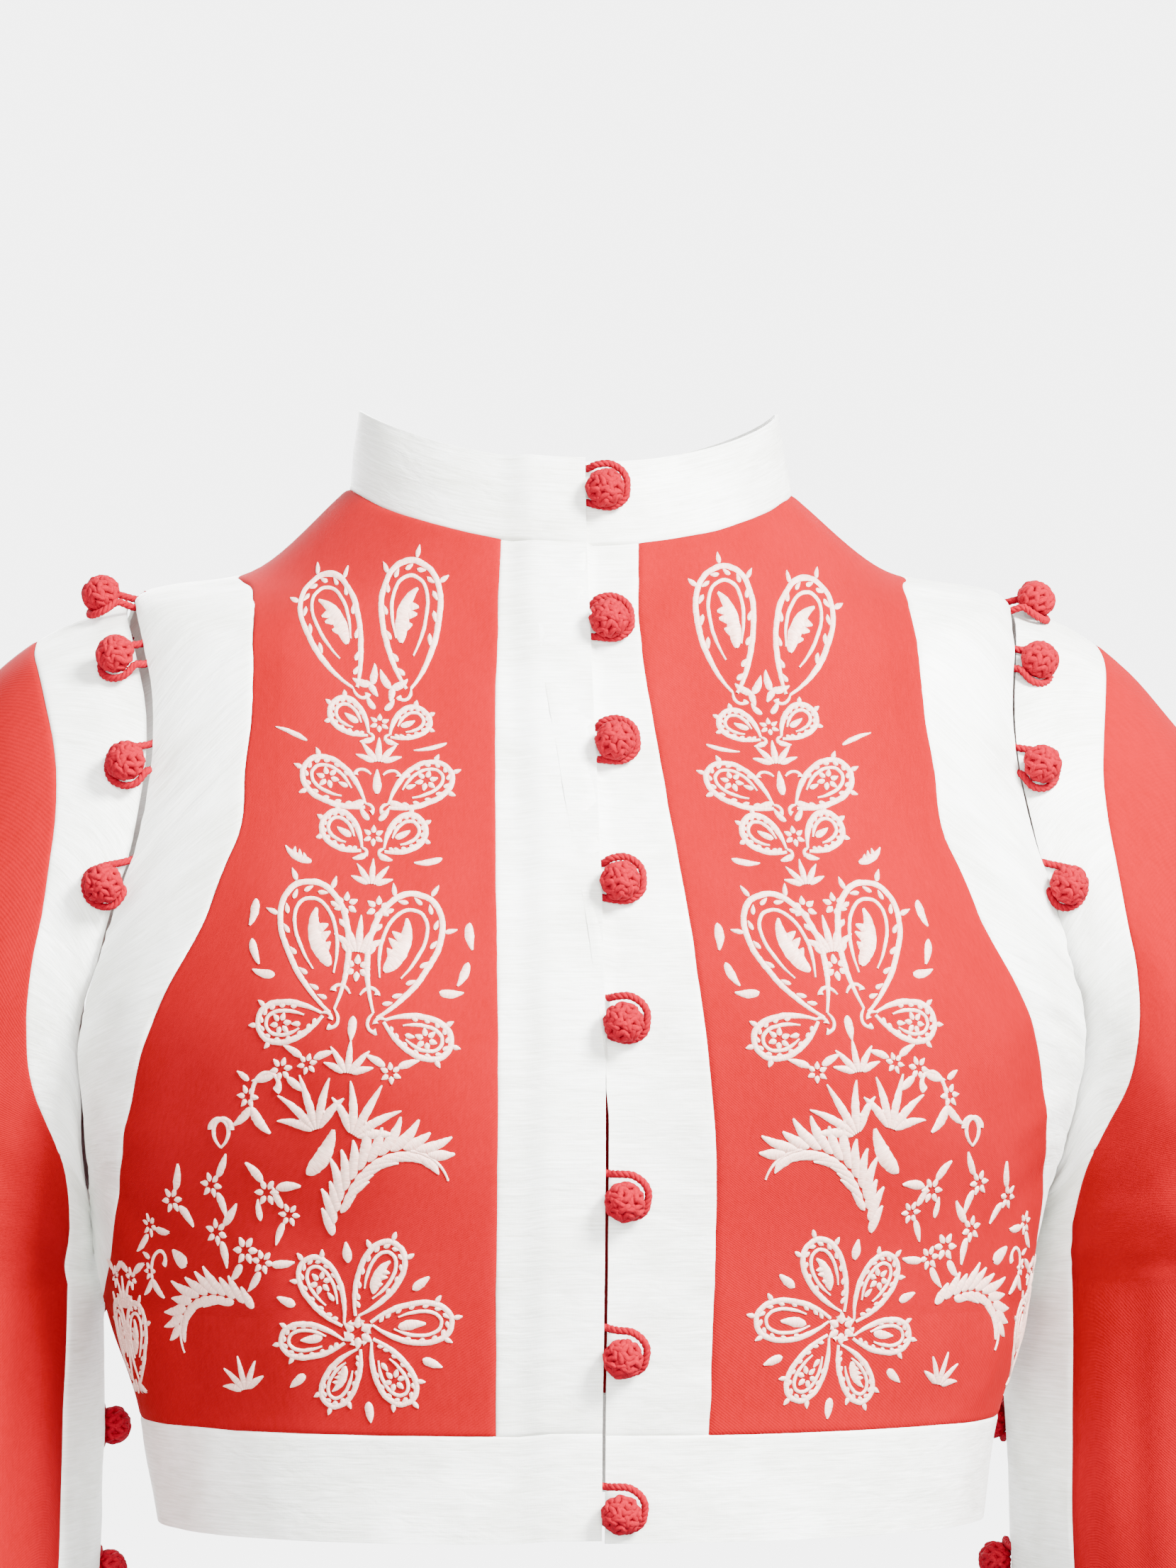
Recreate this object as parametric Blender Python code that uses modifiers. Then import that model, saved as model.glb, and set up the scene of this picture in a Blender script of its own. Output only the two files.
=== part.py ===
"""A cropped bolero jacket in its worn, hollow form, with a stand collar and full length sleeves.

Units are metres and +Z is up. The wearer faces -Y, and +X is the wearer's left. The origin is the
middle of the neck, at the height where the shoulder seams meet the collar.
Every panel is a grid of points on one of two smooth surfaces, the body or a sleeve, made a wall
with Solidify. The sleeves are held on by ball buttons in cord loops, and so is the front.
"""

import math
from collections import namedtuple

import bmesh
import bpy
from mathutils import Matrix, Vector
from mathutils.bvhtree import BVHTree

# Cloth
WALL = 0.0016
SEAM_GAP = 0.00045
WIDE_SEAM_GAP = 0.0009
CREASE_GAP = 0.0014
REST_GAP = 0.0006

# Centre front, where the right front lies over the left one
OVER_LIFT = 0.0023
OVER_TOWARDS = (0.0, -0.89, 0.45)
OVER_FULL_WIDTH = 0.017
OVER_FADE_WIDTH = 0.027
EDGE_SLIVER = 0.0011

# Armholes and sleeves
CAP_GAP = 0.0048
CAP_RECESS = 0.0012
CAP_OUTWARD = 0.0008
SIDE_SEAM_ANGLE = 98.0
CAP_BAND_WIDTH = 0.033
CAP_BAND_UNDERARM_WIDTH = 0.022
NARROW_PART = 0.22
SLIT_BAND_WIDTH = 0.041
BAND_CORNER_RADIUS = 0.014
SLIT_GAP = 0.0034
SLIT_RECESS = 0.0022

# Ball buttons and their cord loops
BALL_RADIUS = 0.0065
BALL_HALF_HEIGHT = 0.0056
CORD_RADIUS = 0.0011
LOOP_SPREAD = 0.0058
LOOP_RISE = 0.0018
LOOP_LIFT = 0.00125
LOOP_FAR = 0.0054
LOOP_ROOT_BULGE = 0.0003
SEAT_SEARCH = 0.005

# Half of a loop's way round its ball's foot: from the middle of the foot, away from the edge and aside
LoopStep = namedtuple("LoopStep", "away aside")
LOOP_STEPS = [LoopStep(0.0018, 0.0052), LoopStep(0.0046, 0.0026)]
# The places under a loop where its height over the cloth is taken
SEAT_STEPS = LOOP_STEPS + [
    LoopStep(-0.0030, LOOP_SPREAD),
    LoopStep(-0.0015, LOOP_SPREAD),
    LoopStep(0.0, LOOP_SPREAD),
    LoopStep(LOOP_FAR, 0.0),
]

# The body from hem to neck: how far it reaches to the side, front and back, its height at the
# front, side and back, and how square its front and back halves are.
Ring = namedtuple("Ring", "side front back z_front z_side z_back square_front square_back")
RINGS = [
    Ring(0.1360, 0.103, 0.086, -0.339, -0.339, -0.339, 2.30, 2.1),
    Ring(0.1410, 0.105, 0.088, -0.305, -0.305, -0.305, 2.30, 2.1),
    Ring(0.1490, 0.109, 0.091, -0.277, -0.277, -0.277, 2.30, 2.1),
    Ring(0.1550, 0.113, 0.094, -0.243, -0.243, -0.243, 2.30, 2.1),
    Ring(0.1655, 0.115, 0.097, -0.208, -0.208, -0.208, 2.40, 2.1),
    Ring(0.1730, 0.113, 0.099, -0.174, -0.174, -0.174, 2.55, 2.2),
    Ring(0.1700, 0.104, 0.100, -0.138, -0.136, -0.136, 2.65, 2.3),
    Ring(0.1610, 0.090, 0.098, -0.101, -0.095, -0.096, 2.60, 2.4),
    Ring(0.1415, 0.074, 0.088, -0.066, -0.034, -0.056, 2.40, 2.3),
    Ring(0.1080, 0.063, 0.073, -0.040, -0.028, -0.030, 2.20, 2.1),
    Ring(0.0730, 0.055, 0.058, -0.021, 0.000, -0.015, 2.10, 2.0),
]
HEM_LEVEL, HEM_SEAM_LEVEL = 0, 1
SHOULDER_TIP_LEVEL, MID_SHOULDER_LEVEL, NECK_LEVEL = 8, 9, 10
HEIGHT_POWER = 1.5
TOP_EDGE_REACH = 5
COLLAR_SQUARE = 2.05

# The soft fullness over each side of the bust
BUST_X, BUST_Z, BUST_FORWARD = 0.072, -0.188, 0.009
BUST_HALF_WIDTH, BUST_HALF_HEIGHT = 0.040, 0.046

# The collar's rings, from its seam to its top edge, as fractions of its height
Collar = namedtuple("Collar", "side front back z_front z_side z_back")
COLLAR_RINGS = [
    Collar(0.0730, 0.0550, 0.058, -0.021, 0.0000, -0.015),
    Collar(0.0712, 0.0520, 0.056, -0.008, 0.0125, -0.002),
    Collar(0.0694, 0.0490, 0.054, 0.0065, 0.0265, 0.0125),
]

# The fronts' seams with the plackets: distance from the centre at each height
FrontLine = namedtuple("FrontLine", "height distance")
RIGHT_PLACKET_SEAM = [
    FrontLine(-0.320, 0.0330),
    FrontLine(-0.230, 0.0338),
    FrontLine(-0.150, 0.0335),
    FrontLine(-0.090, 0.0320),
    FrontLine(-0.045, 0.0293),
    FrontLine(0.000, 0.0260),
]
LEFT_PLACKET_SEAM = [
    FrontLine(-0.320, 0.0338),
    FrontLine(-0.230, 0.0352),
    FrontLine(-0.150, 0.0285),
    FrontLine(-0.090, 0.0205),
    FrontLine(-0.045, 0.0160),
    FrontLine(0.000, 0.0185),
]
UNDER_PLACKET_WIDTH = 0.0330

# Side views of the armhole edge and of its band's inner seam, from the underarm up to the shoulder
SideLine = namedtuple("SideLine", "y z")
EDGE_FRONT = [
    SideLine(0.014, -0.2380),
    SideLine(-0.006, -0.2345),
    SideLine(-0.027, -0.2220),
    SideLine(-0.042, -0.2040),
    SideLine(-0.051, -0.1840),
    SideLine(-0.057, -0.1680),
    SideLine(-0.062, -0.1500),
    SideLine(-0.063, -0.1260),
    SideLine(-0.0555, -0.0960),
    SideLine(-0.043, -0.0670),
    SideLine(-0.021, -0.0430),
    SideLine(0.000, -0.0340),
]
EDGE_BACK = [
    SideLine(0.014, -0.2380),
    SideLine(0.027, -0.2310),
    SideLine(0.037, -0.2120),
    SideLine(0.044, -0.1870),
    SideLine(0.048, -0.1580),
    SideLine(0.049, -0.1290),
    SideLine(0.045, -0.1000),
    SideLine(0.035, -0.0710),
    SideLine(0.018, -0.0460),
    SideLine(0.000, -0.0340),
]
BAND_FRONT = [
    SideLine(0.014, -0.2690),
    SideLine(-0.018, -0.2550),
    SideLine(-0.044, -0.2310),
    SideLine(-0.0635, -0.2090),
    SideLine(-0.075, -0.1875),
    SideLine(-0.0825, -0.1670),
    SideLine(-0.086, -0.1450),
    SideLine(-0.0825, -0.1200),
    SideLine(-0.073, -0.0940),
    SideLine(-0.0655, -0.0740),
    SideLine(-0.055, -0.0530),
    SideLine(-0.0413, -0.0399),
    SideLine(-0.0240, -0.0320),
    SideLine(0.000, -0.0280),
]
BAND_BACK = [
    SideLine(0.014, -0.2690),
    SideLine(0.036, -0.2580),
    SideLine(0.054, -0.2360),
    SideLine(0.066, -0.2110),
    SideLine(0.0735, -0.1840),
    SideLine(0.077, -0.1550),
    SideLine(0.078, -0.1260),
    SideLine(0.0745, -0.0980),
    SideLine(0.066, -0.0720),
    SideLine(0.049, -0.0480),
    SideLine(0.026, -0.0330),
    SideLine(0.000, -0.0280),
]

# How the sleeve leaves the armhole, round it from the underarm: its direction there, how long it
# keeps to it, and how long it keeps to the vertical as it comes into the upper arm.
Cap = namedtuple("Cap", "turn out forward up reach drop")
CAP = [
    Cap(0.000, 0.10, -0.30, -1.00, 0.014, 0.014),
    Cap(0.080, 0.20, 0.05, -0.98, 0.025, 0.025),
    Cap(0.140, 0.30, 0.10, -0.95, 0.042, 0.040),
    Cap(0.180, 0.45, 0.15, -0.87, 0.055, 0.055),
    Cap(0.230, 0.65, 0.22, -0.68, 0.075, 0.085),
    Cap(0.290, 0.85, 0.25, -0.42, 0.105, 0.130),
    Cap(0.350, 0.95, 0.22, -0.22, 0.140, 0.170),
    Cap(0.430, 0.97, 0.10, -0.20, 0.190, 0.230),
    Cap(0.500, 0.97, 0.00, -0.24, 0.225, 0.265),
    Cap(0.570, 0.97, -0.10, -0.20, 0.190, 0.230),
    Cap(0.650, 0.95, -0.25, -0.20, 0.140, 0.170),
    Cap(0.750, 0.80, -0.30, -0.50, 0.090, 0.100),
    Cap(0.840, 0.60, -0.30, -0.70, 0.055, 0.050),
    Cap(0.920, 0.40, -0.30, -0.90, 0.030, 0.030),
    Cap(1.000, 0.10, -0.30, -1.00, 0.014, 0.014),
]
# Near the underarm the sleeve's edge stands outside the armhole's, and farther up inside it
UNDERARM_TURN, FREE_TURN = 0.10, 0.20
# Where the dip of a sleeve's back band starts and is full, as the turn of its edge
DIP_START, DIP_FULL = 0.88, 0.98

# The sleeve below the cap: centre, half sizes and height of each section, down to the wrist
Section = namedtuple("Section", "height x y half_x half_y")
SECTIONS = [
    Section(-0.262, 0.2065, 0.020, 0.0530, 0.0640),
    Section(-0.325, 0.2065, 0.022, 0.0525, 0.0620),
    Section(-0.390, 0.2080, 0.021, 0.0515, 0.0590),
    Section(-0.460, 0.2130, 0.016, 0.0490, 0.0540),
    Section(-0.530, 0.2200, 0.008, 0.0460, 0.0490),
    Section(-0.600, 0.2270, -0.003, 0.0420, 0.0440),
]
SECTION_LEAN = 0.40
BICEP_LEVEL, CUFF_LEVEL = 1.0, 2.0

# The sleeve's largest soft folds: place round it, half width, height, and where it runs
Fold = namedtuple("Fold", "turn half_width height start end")
FOLDS = [
    Fold(0.270, 0.050, -0.0030, 0.75, 1.55),
    Fold(0.370, 0.055, 0.0026, 0.70, 1.60),
    Fold(0.640, 0.060, -0.0024, 0.80, 1.50),
    Fold(0.760, 0.055, 0.0022, 0.75, 1.45),
]

# Where the buttons sit
FRONT_BUTTON_HEIGHTS = [-0.004, -0.048, -0.088, -0.132, -0.175, -0.230, -0.279, -0.329]
FRONT_BUTTON_REACH = 0.0056
ARMHOLE_BUTTON_TURNS = [0.485, 0.430, 0.375, 0.318, 0.572, 0.644, 0.718]
ARMHOLE_BUTTON_REACH = CAP_GAP + 0.0034
SLIT_BUTTON_HEIGHTS = [-0.266, -0.312, -0.360, -0.414, -0.470, -0.526, -0.582]
SLIT_BUTTON_REACH = SLIT_GAP + 0.0050

# How each kind is held: from its loop's root to the foot, how high the root lies and its gap there
Fastening = namedtuple("Fastening", "reach root_lift root_gap")
FRONT_FASTENING = Fastening(FRONT_BUTTON_REACH, 0.00105, 0.0011)
ARMHOLE_FASTENING = Fastening(ARMHOLE_BUTTON_REACH, 0.0026, 0.0004)
SLIT_FASTENING = Fastening(SLIT_BUTTON_REACH, 0.00105, 0.0010)

# Grid sizes
SIDE_ROWS, ARMHOLE_ROWS = 2, 14
FRONT_COLUMNS_NECK, FRONT_COLUMNS_SHOULDER = 7, 2
PLACKET_COLUMNS, BAND_COLUMNS, HEM_ROWS, COLLAR_ROWS = 3, 2, 2, 2
CAP_COLUMNS, SLEEVE_ROWS, SLEEVE_BAND_COLUMNS = 9, 15, 2
CORNER_COLUMN = 1
BISECTIONS = 30
CORD_RESOLUTION = 0
BALL_SEGMENTS, BALL_RINGS = 8, 6

RED = (0.93, 0.075, 0.062, 1.0)
CREAM = (0.86, 0.85, 0.78, 1.0)
CORD_RED = (0.78, 0.012, 0.035, 1.0)


def clear_scene():
    for existing in list(bpy.data.objects):
        bpy.data.objects.remove(existing)


def material(name, colour, roughness):
    made = bpy.data.materials.new(name)
    made.use_nodes = True
    shader = made.node_tree.nodes["Principled BSDF"]
    shader.inputs["Base Color"].default_value = colour
    shader.inputs["Roughness"].default_value = roughness
    shader.inputs["Metallic"].default_value = 0.0
    return made


def smoothstep(low, high, value):
    part = min(max((value - low) / (high - low), 0.0), 1.0)
    return part * part * (3 - 2 * part)


def knot_slope(before, after):
    """The slope at a row, between the steps on its two sides, which never makes the curve overshoot."""
    if before * after <= 0:
        return 0.0
    return 2 * before * after / (before + after)


def read_table(rows, place):
    """The row at a place between 0 and the last row's number, on smooth curves through the rows."""
    place = min(max(place, 0.0), len(rows) - 1.0)
    first = min(int(place), len(rows) - 2)
    part = place - first
    values = []
    for column in range(len(rows[0])):
        start = rows[first][column]
        end = rows[first + 1][column]
        step = end - start
        step_before = start - rows[first - 1][column] if first > 0 else step
        step_after = rows[first + 2][column] - end if first + 2 < len(rows) else step
        slope_start = knot_slope(step_before, step)
        slope_end = knot_slope(step, step_after)
        keep = (1 + 2 * part) * (1 - part) ** 2
        bend = part * (1 - part) ** 2 * slope_start - part**2 * (1 - part) * slope_end
        values.append(start * keep + end * (1 - keep) + bend)
    return type(rows[0])(*values)


def read_by(rows, key, value):
    """The row of a table whose named column has this value; that column rises all the way."""
    marks = [getattr(row, key) for row in rows]
    last = len(marks) - 2
    index = min(max(sum(mark <= value for mark in marks) - 1, 0), last)
    part = (value - marks[index]) / (marks[index + 1] - marks[index])
    return read_table(rows, index + min(max(part, 0.0), 1.0))


def bisect(function, low, high):
    """Where a rising function crosses zero."""
    for _ in range(BISECTIONS):
        middle = (low + high) / 2
        if function(middle) < 0:
            low = middle
        else:
            high = middle
    return (low + high) / 2


def oval(ring, angle, square):
    """A point of a ring at an angle from the centre front, in degrees, and how far it faces front."""
    across = math.sin(math.radians(angle))
    along = math.cos(math.radians(angle))
    depth = ring.front if along > 0 else ring.back
    x = ring.side * math.copysign(abs(across) ** (2 / square), across)
    y = -depth * math.copysign(abs(along) ** (2 / square), along)
    end = ring.z_front if along > 0 else ring.z_back
    z = ring.z_side + (end - ring.z_side) * abs(along) ** HEIGHT_POWER
    return Vector((x, y, z))


def body_point(angle, level):
    ring = read_table(RINGS, level)
    square = ring.square_front if abs(angle) < 90 else ring.square_back
    point = oval(ring, angle, square)
    if point.y < 0:
        across = (abs(point.x) - BUST_X) / BUST_HALF_WIDTH
        up = (point.z - BUST_Z) / BUST_HALF_HEIGHT
        point.y -= BUST_FORWARD * math.exp(-across * across - up * up)
    return point


def collar_point(angle, height):
    ring = read_table(COLLAR_RINGS, height * (len(COLLAR_RINGS) - 1))
    return oval(ring, angle, COLLAR_SQUARE)


def normal_of(surface, a, b, step_a, step_b):
    """The outward direction of a surface at a place, from its slopes there."""
    along_a = surface(a + step_a, b) - surface(a - step_a, b)
    along_b = surface(a, b + step_b) - surface(a, b - step_b)
    return along_a.cross(along_b).normalized()


def body_normal(angle, level):
    return normal_of(body_point, angle, min(max(level, 0.05), NECK_LEVEL - 0.05), 0.5, 0.04)


def lifted(surface, angle, level):
    """A point of the right front, which rises over the left one towards the centre front."""
    point = surface(angle, level)
    if point.y < 0:
        full = 1 - smoothstep(OVER_FULL_WIDTH, OVER_FADE_WIDTH, -point.x)
        point += Vector(OVER_TOWARDS) * OVER_LIFT * full
    return point


def angle_at_x(surface, x, level):
    """The angle in front at which the body or collar is this far from the centre."""
    found = bisect(lambda angle: surface(angle, level).x - abs(x), 0.0, 90.0)
    return math.copysign(found, x)


def angle_of_line(rows, level):
    """The angle at which a front seam crosses a level of the body."""

    def beyond(angle):
        point = body_point(angle, level)
        return point.x - read_by(rows, "height", point.z).distance

    return bisect(beyond, 0.0, 90.0)


def on_body(y, z, top_level):
    """The angle and level of the body's surface at a place seen from the side."""

    def angle_at(level):
        return bisect(lambda angle: body_point(angle, level).y - y, 20.0, 160.0)

    level = bisect(lambda level: body_point(angle_at(level), level).z - z, 0.5, top_level)
    return angle_at(level), level


def side_curve(rows, count, top_level):
    """Angles and levels along an armhole line, from the underarm up to the shoulder seam."""
    places = []
    for step in range(count + 1):
        line = read_table(rows, step * (len(rows) - 1) / count)
        if step == count:
            places.append((90.0, top_level))
        else:
            places.append(on_body(line.y, line.z, top_level))
    return places


def spread(start, end, count):
    return [start + (end - start) * step / count for step in range(count + 1)]


def patch(left, right, top):
    """A grid of places between two sides, as rows from a straight bottom edge to a bent top edge."""
    rows = []
    for i, (start, end) in enumerate(zip(left, right)):
        up = i / (len(left) - 1)
        row = []
        for j, high in enumerate(top):
            over = j / (len(top) - 1)
            place = []
            for k in range(2):
                sides = (1 - over) * start[k] + over * end[k]
                straight_top = (1 - over) * top[0][k] + over * top[-1][k]
                place.append(sides + up**TOP_EDGE_REACH * (high[k] - straight_top))
            row.append(tuple(place))
        rows.append(row)
    return rows


Gaps = namedtuple("Gaps", "first_row last_row sides")
EVEN_GAPS = Gaps(SEAM_GAP, SEAM_GAP, SEAM_GAP)
PANEL_GAPS = Gaps(SEAM_GAP, CREASE_GAP, SEAM_GAP)
COLLAR_GAPS = Gaps(CREASE_GAP, SEAM_GAP, SEAM_GAP)
SLEEVE_GAPS = Gaps(WIDE_SEAM_GAP, WIDE_SEAM_GAP, WIDE_SEAM_GAP)
CAP_BAND_GAPS = Gaps(CREASE_GAP, CREASE_GAP, WIDE_SEAM_GAP)
SLIT_BAND_GAPS = Gaps(CREASE_GAP, SEAM_GAP, WIDE_SEAM_GAP)


def drawn_in(points, gaps):
    """A grid of points with each of its edges drawn in by half its seam's gap."""
    points = [list(row) for row in points]
    for first_gap, last_gap in ((gaps.first_row, gaps.last_row), (gaps.sides, gaps.sides)):
        edges = ((points[0], points[1], first_gap), (points[-1], points[-2], last_gap))
        for row, inner, width in edges:
            for index, point in enumerate(row):
                step = inner[index] - point
                row[index] = point + step.normalized() * width / 2
        points = [list(line) for line in zip(*points)]
    return points


def place_object(thing, look, collection):
    thing.data.materials.append(look)
    thing.data.shade_smooth()
    collection.objects.link(thing)


def cloth(name, points, side, look, collection, gaps=EVEN_GAPS):
    """A cloth panel: a grid of points, mirrored for the wearer's right side, made a wall."""
    points = drawn_in(points, gaps)
    width = len(points[0])
    vertices = [(side * point.x, point.y, point.z) for row in points for point in row]
    faces = []
    for i in range(len(points) - 1):
        for j in range(width - 1):
            corner = i * width + j
            face = (corner, corner + 1, corner + width + 1, corner + width)
            faces.append(face if side > 0 else face[::-1])
    mesh = bpy.data.meshes.new(name)
    mesh.from_pydata(vertices, [], faces)
    thing = bpy.data.objects.new(name, mesh)
    place_object(thing, look, collection)
    wall = thing.modifiers.new("wall", "SOLIDIFY")
    wall.thickness = WALL
    wall.offset = 0.0
    return thing


def body_levels():
    """Levels of the body's rows, from the hem seam to the neck, evenly spaced up the centre front."""
    count = SIDE_ROWS + ARMHOLE_ROWS
    lengths = [0.0]
    levels = spread(HEM_SEAM_LEVEL, NECK_LEVEL, 90)
    for low, high in zip(levels, levels[1:]):
        lengths.append(lengths[-1] + (body_point(10.0, high) - body_point(10.0, low)).length)
    found = []
    for step in range(count + 1):
        goal = lengths[-1] * step / count
        index = min(sum(length < goal for length in lengths), len(levels) - 1)
        found.append(levels[index])
    found[0] = HEM_SEAM_LEVEL
    return found


def side_edge(inner_rows):
    """The side seam from the hem seam up, then the armhole band's seam up to the shoulder."""
    band = side_curve(inner_rows, ARMHOLE_ROWS, MID_SHOULDER_LEVEL)
    corner = band[0]
    seam = [
        (SIDE_SEAM_ANGLE + (corner[0] - SIDE_SEAM_ANGLE) * step / SIDE_ROWS,
         HEM_SEAM_LEVEL + (corner[1] - HEM_SEAM_LEVEL) * step / SIDE_ROWS)
        for step in range(SIDE_ROWS)
    ]
    return seam + band


def front_places(seam_rows):
    """Places of a red front, and its angles along the neck and the hem seam."""
    levels = body_levels()
    left = [(angle_of_line(seam_rows, level), level) for level in levels]
    right = side_edge(BAND_FRONT)
    neck = [(angle, NECK_LEVEL) for angle in spread(left[-1][0], 90.0, FRONT_COLUMNS_NECK)]
    shoulder = [
        (90.0, level)
        for level in spread(NECK_LEVEL, MID_SHOULDER_LEVEL, FRONT_COLUMNS_SHOULDER)[1:]
    ]
    return patch(left, right, neck + shoulder)


def back_places():
    """Places of the back's half, from the centre back to the side seam."""
    levels = body_levels()
    left = [(180.0, level) for level in levels]
    right = side_edge(BAND_BACK)
    neck = [(angle, NECK_LEVEL) for angle in spread(180.0, 90.0, FRONT_COLUMNS_NECK)]
    shoulder = [
        (90.0, level)
        for level in spread(NECK_LEVEL, MID_SHOULDER_LEVEL, FRONT_COLUMNS_SHOULDER)[1:]
    ]
    return patch(left, right, neck + shoulder)


def make_front(name, side, seam_rows, look, collection):
    """A red front panel; the right one rises near its placket."""
    rows = []
    for places in front_places(seam_rows):
        if side < 0:
            rows.append([mirrored(lifted(body_point, -angle, level)) for angle, level in places])
        else:
            rows.append([body_point(angle, level) for angle, level in places])
    return cloth(name, rows, side, look, collection, PANEL_GAPS)


def mirrored(point):
    return Vector((-point.x, point.y, point.z))


def make_back(look, collection):
    """The whole back panel, from one side seam to the other."""
    half = [[body_point(angle, level) for angle, level in row] for row in back_places()]
    whole = [[mirrored(point) for point in reversed(row)] + row[1:] for row in half]
    return cloth("back", [row[::-1] for row in whole], 1, look, collection, PANEL_GAPS)


def make_placket(name, side, seam_rows, look, collection):
    """A placket from its front's seam to its own edge at the centre front."""
    rows = []
    for level in body_levels():
        seam = angle_of_line(seam_rows, level)
        if side < 0:
            angles = spread(0.0, seam, PLACKET_COLUMNS)
            rows.append([mirrored(lifted(body_point, -angle, level)) for angle in angles])
        else:
            edge_x = body_point(seam, level).x - UNDER_PLACKET_WIDTH
            edge = angle_at_x(body_point, min(edge_x, EDGE_SLIVER), level)
            angles = spread(edge, seam, PLACKET_COLUMNS)
            rows.append([body_point(angle, level) for angle in angles])
    return cloth(name, rows, side, look, collection)


def make_hem_front(name, side, seam_rows, look, collection):
    """The hem band of one front, from the centre front to the side seam."""
    seam = angle_of_line(seam_rows, HEM_SEAM_LEVEL)
    edge = 0.0 if side < 0 else angle_at_x(body_point, EDGE_SLIVER, HEM_SEAM_LEVEL)
    columns = FRONT_COLUMNS_NECK + FRONT_COLUMNS_SHOULDER
    angles = spread(edge, seam, PLACKET_COLUMNS)[:-1] + spread(seam, SIDE_SEAM_ANGLE, columns)
    rows = []
    for level in spread(HEM_LEVEL, HEM_SEAM_LEVEL, HEM_ROWS):
        if side < 0:
            rows.append([mirrored(lifted(body_point, -angle, level)) for angle in angles])
        else:
            rows.append([body_point(angle, level) for angle in angles])
    return cloth(name, rows, side, look, collection)


def make_hem_back(look, collection):
    """The hem band of the back, between the side seams."""
    columns = FRONT_COLUMNS_NECK + FRONT_COLUMNS_SHOULDER
    half = spread(SIDE_SEAM_ANGLE, 180.0, columns)
    angles = half + [360.0 - angle for angle in reversed(half[:-1])]
    rows = [
        [body_point(angle, level) for angle in angles]
        for level in spread(HEM_LEVEL, HEM_SEAM_LEVEL, HEM_ROWS)
    ]
    return cloth("hem_band_back", rows, 1, look, collection)


def make_armhole_band(name, side, inner_rows, edge_rows, look, collection):
    """Half of an armhole's band, from the underarm up to the shoulder seam."""
    inner = side_curve(inner_rows, ARMHOLE_ROWS, MID_SHOULDER_LEVEL)
    edge = side_curve(edge_rows, ARMHOLE_ROWS, SHOULDER_TIP_LEVEL)
    rows = []
    for (angle_in, level_in), (angle_out, level_out) in zip(inner, edge):
        row = []
        for part in spread(0.0, 1.0, BAND_COLUMNS):
            angle = angle_in + (angle_out - angle_in) * part
            level = level_in + (level_out - level_in) * part
            row.append(body_point(angle, level))
        rows.append(row)
    if inner_rows is BAND_BACK:
        rows = [row[::-1] for row in rows]
    return cloth(name, rows, side, look, collection)


def collar_angles():
    """Angles round the collar, from the right front's edge by the back to the left one's."""
    right_seam = angle_of_line(RIGHT_PLACKET_SEAM, NECK_LEVEL)
    left_seam = angle_of_line(LEFT_PLACKET_SEAM, NECK_LEVEL)
    edge_x = body_point(left_seam, NECK_LEVEL).x - UNDER_PLACKET_WIDTH
    under_edge = angle_at_x(body_point, edge_x, NECK_LEVEL)
    over = [-angle for angle in spread(0.0, right_seam, PLACKET_COLUMNS)]
    right = [-angle for angle in spread(right_seam, 90.0, FRONT_COLUMNS_NECK)]
    back = spread(-90.0, -270.0, 2 * FRONT_COLUMNS_NECK)
    left = [-360.0 + angle for angle in reversed(spread(left_seam, 90.0, FRONT_COLUMNS_NECK))]
    under = [-360.0 + angle for angle in reversed(spread(under_edge, left_seam, PLACKET_COLUMNS))]
    return over[:-1] + right[:-1] + back[:-1] + left[:-1] + under


def make_collar(look, collection):
    """The stand collar, in one piece, whose right end lies over its left one."""
    rows = []
    for height in spread(0.0, 1.0, COLLAR_ROWS):
        row = []
        for angle in collar_angles():
            if angle > -90.0:
                row.append(lifted(collar_point, angle, height))
            else:
                row.append(collar_point(angle + 360.0, height))
        rows.append(row[::-1])
    return cloth("collar", rows, 1, look, collection, COLLAR_GAPS)


def armhole_place(turn, front_rows=EDGE_FRONT, back_rows=EDGE_BACK, top_level=SHOULDER_TIP_LEVEL):
    """The body's angle and level at a place round an armhole line, from the underarm by the front."""
    front = turn <= 0.5
    rows = front_rows if front else back_rows
    part = turn * 2 if front else (1 - turn) * 2
    if part > 0.9999:
        return 90.0, float(top_level)
    line = read_table(rows, part * (len(rows) - 1))
    return on_body(line.y, line.z, top_level)


def cap_start(turn):
    """Where the sleeve's edge lies by the armhole's, and how the sleeve leaves it."""
    angle, level = armhole_place(turn)
    seam_angle, seam_level = armhole_place(turn, BAND_FRONT, BAND_BACK, MID_SHOULDER_LEVEL)
    edge = body_point(angle, level)
    near = body_point(angle + (seam_angle - angle) * 0.2, level + (seam_level - level) * 0.2)
    free = smoothstep(UNDERARM_TURN, FREE_TURN, 0.5 - abs(turn - 0.5))
    recess = CAP_RECESS * free - CAP_OUTWARD * (1 - free)
    start = edge + (edge - near).normalized() * CAP_GAP - edge_normal(angle, level) * recess
    cap = read_by(CAP, "turn", turn)
    leaving = Vector((cap.out, -cap.forward, cap.up)).normalized()
    return start, leaving, cap


def edge_normal(angle, level):
    return body_normal(angle, min(level, SHOULDER_TIP_LEVEL + 0.4))


CAP_STARTS = {}


def section_point(turn, place):
    """A point of the sleeve below its cap, from the slit round by the front."""
    section = read_table(SECTIONS, place)
    angle = math.pi + 2 * math.pi * turn
    across = section.half_x * math.cos(angle)
    along = section.half_y * math.sin(angle) - SECTION_LEAN * across
    return Vector((section.x + across, section.y + along, section.height))


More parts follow.
